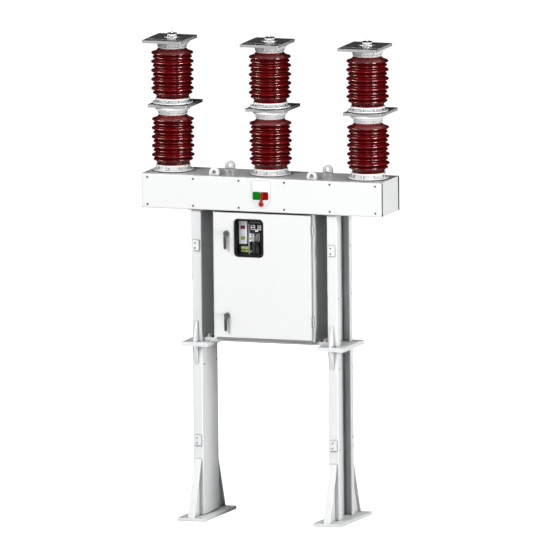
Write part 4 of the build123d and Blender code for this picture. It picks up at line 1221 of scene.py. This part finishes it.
@dataclass
class CrossarmFittings(SubAssembly):
    """Screws of the crossarm's covers, dark rubber bands on its ends that paint the shadow in the covers'
    joints, and the lugs' welds.
    """

    screw: Screw = Screw(7 * MM, 4 * MM)
    screw_columns: int = 6
    end_margin: float = 43.25 * MM
    edge_margin: float = 25 * MM
    shadow_trim: Plate = Plate(0.0, 18 * MM, 1.2 * MM, 2 * MM, 0.5 * MM)
    shadow_trim_margin: float = 3 * MM
    front_shadow_trim: float = 11 * MM
    back_shadow_trim: float = 14 * MM
    lug_width: float = 73 * MM
    lug_depth: float = 12 * MM
    weld_leg: float = 5 * MM

    def build(self) -> None:
        """Builds the cover screws, the dark bands at both ends that paint the shadow in the covers' joints,
        and the weld beads at the lugs' feet.
        """
        front, back, lugs = map(NodeBox.of, ("crossarm_front_cover", "crossarm_back_cover", "lifting_lugs"))
        screws, shadow_trims, welds = Piece("cover_screws"), Piece("cover_shadow_trims"), Piece("lug_welds")
        head, span = self.screw.head(), front.size.x - 2 * self.end_margin
        for i in range(self.screw_columns):
            x = front.low.x + self.end_margin + span * i / (self.screw_columns - 1)
            for z in (front.low.z + self.edge_margin, front.high.z - self.edge_margin):
                screws.add(head, at((x, front.low.y, z), Facing.FRONT),
                           at((x, back.high.y, z), Facing.BACK))
        shadow_strip = replace(self.shadow_trim, width=front.size.z - 2 * self.shadow_trim_margin).form()
        for y in (front.high.y - self.front_shadow_trim, back.low.y - self.back_shadow_trim):
            shadow_trims.add(shadow_strip, at((front.high.x, y, front.middle.z), Facing.RIGHT, math.pi / 2),
                      at((front.low.x, y, front.middle.z), Facing.LEFT, math.pi / 2))
        bead = weld_bead(self.lug_width, self.weld_leg)
        for x in (lugs.low.x + self.lug_width / 2, lugs.high.x - self.lug_width / 2):
            welds.add(bead, at((x, lugs.low.y + self.lug_depth, lugs.low.z)),
                      at((x, lugs.high.y - self.lug_depth, lugs.low.z), turn=math.pi))
        self.fit(screws, BLACK_OXIDE, "latch_metal")
        # Dark rubber bands that paint the shadow in the covers' joints.
        self.fit(shadow_trims, SEAL_RUBBER, "seal_rubber")
        self.fit(welds, HOUSING_PAINT, "housing_paint")


# Columns


@dataclass
class ColumnFittings(SubAssembly):
    """Screws and welds along the two columns."""

    cover_screw: Screw = Screw(5 * MM, 3 * MM)
    cover_height: float = 70 * MM
    cover_screw_rise: float = 18 * MM
    cover_screw_offset: float = 2 * MM
    web_screw: Screw = Screw(6 * MM, 3 * MM)
    web_screw_reach: float = 122 * MM
    lower_drop: float = 133 * MM
    upper_drop: float = 248 * MM
    weld_leg: float = 6 * MM
    weld_margin: float = 8 * MM

    def build(self) -> None:
        """Builds the screws of the small covers and of the webs, and the welds at the columns' feet."""
        small, web, welds = Piece("small_cover_screws"), Piece("web_screws"), Piece("column_welds")
        covers = NodeBox.of("small_covers")
        small_head, web_head = self.cover_screw.head(), self.web_screw.head()
        levels = (("lower", self.lower_drop), ("upper", self.upper_drop))
        quarter = math.pi / 2
        for side, facing, turn in (("left", Facing.RIGHT, -quarter), ("right", Facing.LEFT, quarter)):
            x = NodeBox.of(f"{side}_lower_column").middle.x - self.cover_screw_offset
            for middle in (covers.low.z + self.cover_height / 2, covers.high.z - self.cover_height / 2):
                for rise in (-self.cover_screw_rise, self.cover_screw_rise):
                    small.add(small_head, at((x, covers.low.y, middle + rise), Facing.FRONT))
            for level, drop in levels:
                box = NodeBox.of(f"{side}_{level}_column")
                web_x = box.high.x if facing is Facing.RIGHT else box.low.x
                for y in (-self.web_screw_reach, self.web_screw_reach):
                    web.add(web_head, at((web_x, y, box.high.z - drop), facing))
                bead, short = (weld_bead(length - 2 * self.weld_margin, self.weld_leg)
                               for length in (box.size.y, box.size.x))
                welds.add(bead, at((web_x, 0, box.low.z), turn=turn))
                welds.add(short, at((box.middle.x, box.high.y, box.low.z)),
                          at((box.middle.x, box.low.y, box.low.z), turn=math.pi))
        self.fit(small, BLACK_OXIDE, "latch_metal")
        self.fit(web, BLACK_OXIDE, "latch_metal")
        self.fit(welds, STRUCTURE_PAINT, "structure_paint")


# Cabinet and door


@dataclass
class CabinetFittings(SubAssembly):
    """Nuts and bolts at the ends of the cabinet's beams, a dark band above the door that paints the shadow
    under the crossarm, and the rivets in its back.
    """

    beam_nut: Bolt = Bolt(19 * MM, 12 * MM, 13 * MM, 2.5 * MM, 6 * MM, 9 * MM)
    beam_bolt: Bolt = Bolt(16 * MM, 8 * MM, 11 * MM, 2 * MM)
    nut_inset: Point = (30 * MM, 15 * MM)
    bolt_distance: float = 28 * MM
    shadow_strip: Plate = Plate(0.0, 9 * MM, 1.5 * MM, 1 * MM, 0.5 * MM)
    shadow_strip_margin: float = 22 * MM
    shadow_strip_drop: float = 0.5 * MM
    rivet: Screw = Screw(4 * MM, 2 * MM)
    rivet_inset: Point = (40 * MM, 60 * MM)

    def build(self) -> None:
        """Builds the nuts and bolts, the dark band above the door that paints shadow, and the rivets."""
        beams, cabinet = NodeBox.of("cabinet_beams"), NodeBox.of("cabinet_shell")
        nuts, bolts, rivets = Piece("beam_nuts"), Piece("beam_bolts"), Piece("cabinet_rivets")
        nut, bolt, rivet = self.beam_nut.head(), self.beam_bolt.head(), self.rivet.head()
        across, along = self.nut_inset
        for x, inward in ((beams.low.x + across, 1), (beams.high.x - across, -1)):
            for y in (beams.low.y + along, beams.high.y - along):
                nuts.add(nut, at((x, y, beams.high.z)))
                bolts.add(bolt, at((x + inward * self.bolt_distance, y, beams.high.z)))
        across, along = self.rivet_inset
        for z in (cabinet.low.z + along, cabinet.middle.z, cabinet.high.z - along):
            for x in (cabinet.low.x + across, cabinet.high.x - across):
                rivets.add(rivet, at((x, cabinet.high.y, z), Facing.BACK))
        shadow_strip = replace(self.shadow_strip, width=cabinet.size.x - 2 * self.shadow_strip_margin)
        level = cabinet.high.z - shadow_strip.height / 2 - self.shadow_strip_drop
        self.fit(nuts, ZINC, "stud_metal")
        self.fit(bolts, BLACK_OXIDE, "latch_metal")
        # A dark rubber band that paints the shadow under the crossarm.
        self.front("cabinet_top_shadow_strip", shadow_strip, (0, cabinet.low.y, level), SEAL_RUBBER, "seal_rubber")
        self.fit(rivets, ZINC, "hinge_steel")


@dataclass
class DoorFittings(SubAssembly):
    """The cap screws that hold the door's levers."""

    screw: Screw = Screw(6.5 * MM, 3.5 * MM)
    inset: float = 16 * MM
    depth: float = 13.2 * MM

    def build(self) -> None:
        """Builds a cap screw on each lever."""
        for level in ("lower", "upper"):
            latch = NodeBox.of(f"{level}_latch")
            place = (latch.high.x - self.inset, latch.low.y + self.depth, latch.high.z - self.inset)
            cap = Piece(f"{level}_latch_screw").add(self.screw.head(), at(place, Facing.FRONT))
            self.fit(cap, BLACK_OXIDE, "latch_metal", f"{level}_handle")


# Indicator


@dataclass
class Indicator(SubAssembly):
    """The position indicator: a blank label, enamel fields and the domed pointer."""

    label: Plate = Plate(0.0, 74 * MM, 0.8 * MM, 2 * MM, 0.3 * MM)
    label_margin: float = 3 * MM
    label_drop: float = 40 * MM
    enamel: Plate = Plate(57 * MM, 56 * MM, 1.6 * MM, 9 * MM, 1.2 * MM, 3)
    field_gap: float = 0.5 * MM
    field_offset: float = 5 * MM
    field_rise: float = 83 * MM
    bulb_radius: float = 17.5 * MM
    arm_length: float = 70 * MM
    arm_width: float = 13 * MM
    blade_depth: float = 5.6 * MM
    blade_edge: float = 2.4 * MM
    tip_radius: float = 4.5 * MM
    lean: float = math.radians(9)
    shaft_radius: float = 6 * MM
    cap_radius: float = 8 * MM
    cap_height: float = 2.5 * MM
    cap_sink: float = 0.6 * MM

    def fields(self) -> None:
        """Lays the label and the green and the red field on the plate, above the pivot."""
        plate = NodeBox.of("indicator_plate")
        label = replace(self.label, width=plate.size.x - 2 * self.label_margin)
        self.front("blank_label", label, (plate.middle.x, plate.low.y, plate.high.z - self.label_drop),
                   LABEL_WHITE, "indicator_white")
        for name, finish, side in (("green_field", ENAMEL_GREEN, -1), ("red_field", ENAMEL_RED, 1)):
            x = plate.middle.x - self.field_offset + side * (self.enamel.width + self.field_gap) / 2
            self.front(name, self.enamel, (x, plate.low.y, plate.low.z + self.field_rise), finish,
                       "indicator_white")

    def outline(self) -> Profile:
        """Draws the pointer: a round bulb that runs out into a leaning arm with a round tip.

        Returns:
            The outline's points.
        """
        root = math.degrees(math.asin(self.arm_width / 2 / self.bulb_radius))
        tip = (math.tan(self.lean) * self.arm_length, self.arm_length)
        arcs = (((0.0, 0.0), self.bulb_radius, 90 + root, 360 - 2 * root, 32),
                (tip, self.tip_radius, 0, 180, 8))
        points: Profile = []
        for middle, radius, start, sweep, steps in arcs:
            for step in range(steps + 1):
                angle = math.radians(start + sweep * step / steps)
                points.append((middle[0] + radius * math.cos(angle), middle[1] + radius * math.sin(angle)))
        return points

    def pointer(self) -> None:
        """Models the pointer as one smooth domed piece in place of its plain node."""
        box = NodeBox.of("pointer")
        back, pivot_z = box.low.y + self.blade_depth, box.low.z + self.bulb_radius
        blade = pressed(self.outline(), self.blade_depth, self.blade_edge, 4)
        shaft = turned(ring_profile(0, self.shaft_radius, box.high.y - back), 32)
        cap = turned(ring_profile(0, self.cap_radius, self.cap_height, (0, 0, 2 * MM, 0)), 32)
        piece = Piece("pointer_domed").add(blade, at((0, back, pivot_z), Facing.FRONT))
        piece.add(shaft, at((0, back, pivot_z), Facing.BACK))
        piece.add(cap, at((0, box.low.y + self.cap_sink, pivot_z), Facing.FRONT))
        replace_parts(self.fit(piece, POINTER_RED, "pointer_red", POINTER_BODY, 50), "pointer")

    def build(self) -> None:
        """Builds the fields and the pointer."""
        self.fields()
        self.pointer()


# Spring mechanism


@dataclass
class Mechanism(SubAssembly):
    """Plates, spring, flags, counters and terminals that show through the window.

    Args:
        counters_mm: Place across and up, width and height of each counter, in millimetres.
    """

    divider: Plate = Plate(9 * MM, 212 * MM, 8 * MM)
    divider_place: Point = (-124.5 * MM, 1.941)
    rail: Plate = Plate(0.0, 13 * MM, 8 * MM)
    rail_margin: float = 3 * MM
    rail_level: float = 2.057
    set_back: float = 2 * MM
    relay_cover: Plate = Plate(30 * MM, 47 * MM, 3 * MM, 2 * MM)
    relay_cover_x: float = -56 * MM
    relay_backing: Plate = Plate(37 * MM, 56 * MM, 1 * MM, 1 * MM, 0.4 * MM)
    tag: Plate = Plate(11 * MM, 7 * MM, 0.8 * MM, 1 * MM, 0.3 * MM)
    tag_inset: float = 8 * MM
    tag_levels: Sequence[float] = (1.9755, 1.960, 1.932)
    knob: Screw = Screw(6.5 * MM, 14 * MM)
    knob_place: Point = (-107.7 * MM, 1.854)
    knob_stand: float = 4 * MM
    spring_place: Point = (-90 * MM, 1.842)
    spring_stand: float = 1.5 * MM
    spring_radius: float = 9 * MM
    spring_length: float = 66 * MM
    spring_turns: int = 9
    turn_steps: int = 18
    wire_sides: int = 8
    wire_radius: float = 1.9 * MM
    seat_radius: float = 12 * MM
    seat_height: float = 4 * MM
    flag: Plate = Plate(33 * MM, 23 * MM, 1.6 * MM, 2 * MM)
    flag_depth: float = 3 * MM
    red_flag_rise: float = 35 * MM
    green_flag_rise: float = -39 * MM
    counter_origin: Point = (-20 * MM, -57.5 * MM)
    counters_mm: Sequence[tuple[float, ...]] = ((-2, 61.5, 30, 34), (45, 61.5, 26, 32), (25, 39.5, 22, 16))
    counter_rim: float = 4.2 * MM
    rim_bar: Plate = Plate(0.0, 0.0, 1.4 * MM, 0.8 * MM)
    drum_radius: float = 4 * MM
    drum_gap: float = 5.5 * MM
    terminal_count: int = 6
    missing_terminal: int = 3
    tall_cap: Plate = Plate(6.4 * MM, 14 * MM, 3 * MM, 0.8 * MM, 0.8 * MM)
    low_cap: Plate = Plate(6.4 * MM, 9 * MM, 3 * MM, 0.8 * MM, 0.8 * MM)
    tall_cap_drop: float = 8 * MM
    low_cap_rise: float = 9 * MM
    clamp_screw: Screw = Screw(2.2 * MM, 1.2 * MM)

    def plates(self) -> None:
        """Adds the divider, the rail over the counters, the relay's cover and backing, and its tags."""
        frame, relays, counters = map(NodeBox.of, ("mechanism_frame", "relay_blocks", "counter_panel"))
        face, relay_z = frame.low.y + self.set_back, relays.middle.z
        rail = replace(self.rail, width=counters.size.x - 2 * self.rail_margin)
        backing_x = relays.high.x - self.relay_backing.width / 2
        for name, plate, place, finish, slot in (
                ("mechanism_divider", self.divider, (self.divider_place[0], face, self.divider_place[1]),
                 RELAY_PLASTIC, "mechanism_steel"),
                ("counter_rail", rail, (counters.middle.x, face, self.rail_level), GREY_PLASTIC,
                 "mechanism_steel"),
                ("relay_cover", self.relay_cover, (self.relay_cover_x, relays.low.y, relay_z), GREY_PLASTIC,
                 "relay_plastic"),
                ("relay_backing", self.relay_backing, (backing_x, relays.low.y, relay_z), COUNTER_PLASTIC,
                 "relay_plastic")):
            self.front(name, plate, place, finish, slot)
        tags = Piece("relay_tags").add(self.tag.form(), *[
            at((relays.low.x + self.tag_inset, relays.low.y, z), Facing.FRONT) for z in self.tag_levels])
        knob_x, knob_z = self.knob_place
        tags.add(self.knob.head(), at((knob_x, frame.low.y - self.knob_stand, knob_z), Facing.FRONT))
        self.fit(tags, LABEL_WHITE, "relay_plastic")

    def spring(self) -> None:
        """Winds the closing spring beside the motor, between its two seats."""
        steps, around = self.turn_steps * self.spring_turns, self.wire_sides
        rows = []
        for i in range(steps + 1):
            angle = math.tau * self.spring_turns * i / steps
            out = Vector((math.cos(angle), math.sin(angle), 0))
            middle = out * self.spring_radius + Vector((0, 0, self.spring_length * i / steps))
            rows.append([middle + out * self.wire_radius * math.cos(math.tau * j / around)
                         + Vector((0, 0, self.wire_radius * math.sin(math.tau * j / around)))
                         for j in range(around)])
        seat = turned(ring_profile(0, self.seat_radius, self.seat_height, (0, 0, 1.5 * MM, 0)), 32)
        x, z = self.spring_place
        y = NodeBox.of("mechanism_frame").low.y - self.spring_stand - self.spring_radius
        piece = Piece("closing_spring").add(skinned(rows, "spring"), at((x, y, z)))
        piece.add(seat, at((x, y, z - self.seat_height)), at((x, y, z + self.spring_length)))
        self.fit(piece, BLACK_OXIDE, "mechanism_steel")

    def flags(self) -> None:
        """Sets the red and the green flag in the fascia's two openings."""
        fascia = NodeBox.of("indicator_fascia")
        for name, finish, rise in (("charged_flag", FLAG_RED, self.red_flag_rise),
                                   ("ready_flag", FLAG_GREEN, self.green_flag_rise)):
            place = (fascia.middle.x, fascia.low.y + self.flag_depth, fascia.middle.z + rise)
            self.front(name, self.flag, place, finish, "fascia_plastic")

    def counters(self) -> None:
        """Frames the three counters and puts a drum behind each."""
        panel = NodeBox.of("counter_panel")
        frames, drums = Piece("counter_frames"), Piece("counter_drums")
        rim, front = self.counter_rim, panel.low.y
        for sizes in self.counters_mm:
            across, rise, width, height = (size * MM for size in sizes)
            x = panel.middle.x + self.counter_origin[0] + across
            z = panel.middle.z + self.counter_origin[1] + rise
            right, up = (width - rim) / 2, (height - rim) / 2
            for place, size in (((x, z + up), (width, rim)), ((x, z - up), (width, rim)),
                                ((x - right, z), (rim, height)), ((x + right, z), (rim, height))):
                bar = replace(self.rim_bar, width=size[0], height=size[1]).form()
                frames.add(bar, at((place[0], front, place[1]), Facing.FRONT))
            length = width - 2 * self.drum_gap
            drum = turned(ring_profile(0, self.drum_radius, length, (0, 0.6 * MM, 0.6 * MM, 0)), 24)
            drums.add(drum, at((x - length / 2, front + self.drum_gap, z), Facing.RIGHT))
        self.fit(frames, COUNTER_FRAME, "counter_plastic")
        self.fit(drums, COUNTER_FRAME, "counter_plastic")

    def terminals(self) -> None:
        """Sets pale terminals on the block, the upper ones with their clamp screws."""
        block, head = NodeBox.of("terminal_block"), self.clamp_screw.head()
        tall, low = self.tall_cap.form(), self.low_cap.form()
        caps, screws = Piece("terminal_caps"), Piece("terminal_block_screws")
        top = block.high.z - self.tall_cap_drop
        for i in range(self.terminal_count):
            x = block.low.x + block.size.x * (i + 0.5) / self.terminal_count
            caps.add(tall, at((x, block.low.y, top), Facing.FRONT))
            screws.add(head, at((x, block.low.y - self.tall_cap.depth, top), Facing.FRONT))
            if i != self.missing_terminal:
                caps.add(low, at((x, block.low.y, block.low.z + self.low_cap_rise), Facing.FRONT))
        self.fit(caps, TERMINAL_CAP, "terminal_plastic")
        self.fit(screws, BLACK_OXIDE, "terminal_plastic")

    def build(self) -> None:
        """Builds the details of the mechanism."""
        for step in (self.plates, self.spring, self.flags, self.counters, self.terminals):
            step()


# Studio


@dataclass(frozen=True)
class AreaLight:
    """A soft rectangular light.

    Args:
        name: Name of the light.
        size: Width and height.
        power: Power in watts.
        kind: What the light does.
        colour: Colour of the light.
    """

    name: str
    size: Point
    power: float
    kind: Light
    colour: Colour = (1.0, 1.0, 1.0)

    def hang(self, place: Vector, facing: Vector) -> None:
        """Hangs the light.

        Args:
            place: Where its middle goes.
            facing: Direction that it shines in.
        """
        data = bpy.data.lights.new(self.name, "AREA")
        data.shape = "RECTANGLE"
        data.size, data.size_y = self.size
        data.energy = self.power
        data.color = self.colour
        light = bpy.data.objects.new(self.name, data)
        turning = facing.to_track_quat("-Z", "Y").to_matrix().to_4x4()
        light.matrix_world = Matrix.Translation(place) @ turning
        light.visible_glossy = self.kind is not Light.FILL
        light.visible_diffuse = self.kind is not Light.GLINT
        bpy.context.scene.collection.objects.link(light)


# Direction of each light in degrees (0 is the front, 90 the right), its height and its distance.
SOFTBOXES = (
    (-14, 7.4, 12.0, AreaLight("front_key", (7.0, 5.0), 1730, Light.FILL)),
    (75, 2.2, 10.0, AreaLight("right_fill", (3.0, 5.0), 1010, Light.FILL)),
    (-166, 2.3, 11.0, AreaLight("back_fill", (5.0, 4.0), 520, Light.FILL)),
    (68, 7.0, 6.0, AreaLight("right_glint", (2.4, 3.2), 1500, Light.GLINT)),
    (-66, 7.0, 6.0, AreaLight("left_glint", (3.6, 3.0), 900, Light.GLINT, (1.0, 0.92, 0.84))),
    (24, 7.0, 6.0, AreaLight("middle_glint", (2.2, 2.0), 190, Light.GLINT)),
)


@dataclass
class Studio:
    """Floor, lights, world and camera."""

    azimuth: float = math.radians(19.876)
    elevation: float = math.radians(8.518)
    roll: float = math.radians(-0.594)
    aim: tuple[float, float, float] = (0.02143, 0.0, 1.6809)
    view_height: float = 3.767
    distance: float = 14.0
    far_limit: float = 200.0
    floor_radius: float = 60.0
    floor_top: float = -0.5 * MM
    floor_bottom: float = -10 * MM
    floor_colour: Colour = (0.42, 0.42, 0.42)
    floor_mirrored: Colour = (0.03, 0.03, 0.03)
    floor_roughness: float = 0.9
    floor_specular: float = 0.1
    floor_glow: float = 1.0
    room_colour: Colour = (0.94, 0.97, 1.0)
    room_light: float = 0.09
    room_reflection: float = 0.012
    light_aim: float = 1.9
    lamp_power: float = 0.062
    lamp_gap: float = 4 * MM

    def camera(self) -> None:
        """Places the camera, which looks along parallel lines."""
        data = bpy.data.cameras.new("camera")
        data.type = "ORTHO"
        data.ortho_scale = self.view_height
        data.clip_end = self.far_limit
        camera = bpy.data.objects.new("camera", data)
        back = Vector((math.sin(self.azimuth) * math.cos(self.elevation),
                       -math.cos(self.azimuth) * math.cos(self.elevation), math.sin(self.elevation)))
        turning = (-back).to_track_quat("-Z", "Y").to_matrix().to_4x4()
        camera.matrix_world = (Matrix.Translation(Vector(self.aim) + back * self.distance) @ turning
                               @ Matrix.Rotation(self.roll, 4, "Z"))
        bpy.context.scene.collection.objects.link(camera)
        bpy.context.scene.camera = camera

    def floor(self) -> None:
        """Lays a plain pale floor that glows a little, so that it stays near white."""
        form = turned([(0, self.floor_bottom), (self.floor_radius, self.floor_bottom),
                       (self.floor_radius, self.floor_top), (0, self.floor_top)], 96)
        form.name = "studio_floor"
        floor = bpy.data.objects.new("studio_floor", form)
        bpy.context.scene.collection.objects.link(floor)
        material = bpy.data.materials.new("studio_floor")
        material.use_nodes = True
        tree = material.node_tree
        shader, seen = tree.nodes["Principled BSDF"].inputs, wired(tree, "LightPath", {})
        shader["Roughness"].default_value = self.floor_roughness
        shader["Specular IOR Level"].default_value = self.floor_specular
        shader["Emission Color"].default_value = (1.0, 1.0, 1.0, 1.0)
        through = wired(tree, "Math", {0: seen["Is Camera Ray"], 1: seen["Is Transmission Ray"]},
                        operation="MAXIMUM")["Value"]
        tree.links.new(ramp(tree, through, wanted=(0.0, self.floor_glow)), shader["Emission Strength"])
        tree.links.new(mixed(tree, seen["Is Glossy Ray"], self.floor_colour, self.floor_mirrored),
                       shader["Base Color"])
        form.materials.append(material)

    def world(self) -> None:
        """Fills the room with dim light, dimmer still in reflections."""
        world = bpy.data.worlds.new("studio")
        world.use_nodes = True
        tree = world.node_tree
        background = tree.nodes["Background"].inputs
        background["Color"].default_value = (*self.room_colour, 1.0)
        mirrored = wired(tree, "LightPath", {})["Is Glossy Ray"]
        strength = ramp(tree, mirrored, wanted=(self.room_light, self.room_reflection))
        tree.links.new(strength, background["Strength"])
        bpy.context.scene.world = world

    def lights(self) -> None:
        """Lights the mechanism from just behind the window, then hangs the softboxes."""
        window = NodeBox.of("window_glass")
        lamp = AreaLight("cabinet_lamp", (window.size.x, window.size.z), self.lamp_power, Light.FILL)
        place = Vector((window.middle.x, window.high.y + self.lamp_gap, window.middle.z))
        lamp.hang(place, Vector(Facing.BACK.value))
        for azimuth, height, distance, light in SOFTBOXES:
            angle = math.radians(azimuth)
            place = Vector((math.sin(angle) * distance, -math.cos(angle) * distance, height))
            light.hang(place, Vector((0.0, 0.0, self.light_aim)) - place)

    def build(self) -> None:
        """Builds the studio."""
        for step in (self.camera, self.floor, self.world, self.lights):
            step()
        bpy.context.scene.view_settings.view_transform = "Standard"


# The breaker


@dataclass
class Breaker:
    """The whole breaker: finishes on the CAD nodes and the pieces added to them."""

    nodes: Mapping[str, Object]
    workshop: Workshop = field(default_factory=Workshop)

    def dress(self) -> None:
        """Gives every CAD node its finish."""
        for finish, nodes in NODE_FINISHES.items():
            for node in nodes:
                self._paint(node, self.workshop.material(finish))
        self._paint("window_glass", self.workshop.glass(WINDOW_GLASS))

    def _paint(self, node: str, material: Material) -> None:
        """Puts a material in every slot of a node's object.

        Args:
            node: Name of the node.
            material: The material.
        """
        for slot in self.nodes[node].material_slots:
            slot.link = "OBJECT"
            slot.material = material
        LOG.info("%s: %s", node, material.name)

    def build(self) -> None:
        """Dresses the nodes and builds every added piece."""
        self.dress()
        rows = ("lower_insulators", "upper_insulators")
        lower, upper, arm, middle, top = map(
            NodeBox.of, (*rows, "crossarm_frame", "middle_terminals", "top_terminals"))
        outer = lower.high.x - lower.size.y / 2
        poles = (-outer, 0.0, outer)
        for node in rows:
            Insulators(self.workshop, node, poles).build()
        feet = ((arm.high.z, lower.low.z), (middle.high.z, upper.low.z))
        caps = ((lower.high.z, middle.low.z), (upper.high.z, top.low.z))
        Castings(self.workshop, poles, feet, caps).build()
        TerminalStuds(self.workshop, poles).build()
        for kind in (CrossarmFittings, ColumnFittings, CabinetFittings, DoorFittings, Indicator, Mechanism):
            kind(self.workshop).build()


def main() -> None:
    """Loads the frame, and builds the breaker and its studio."""
    logging.basicConfig(level=logging.INFO, format="%(name)s %(message)s")
    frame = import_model()
    Breaker(frame["nodes"]).build()
    Studio().build()
    bpy.context.view_layer.update()


if __name__ == "__main__":
    main()
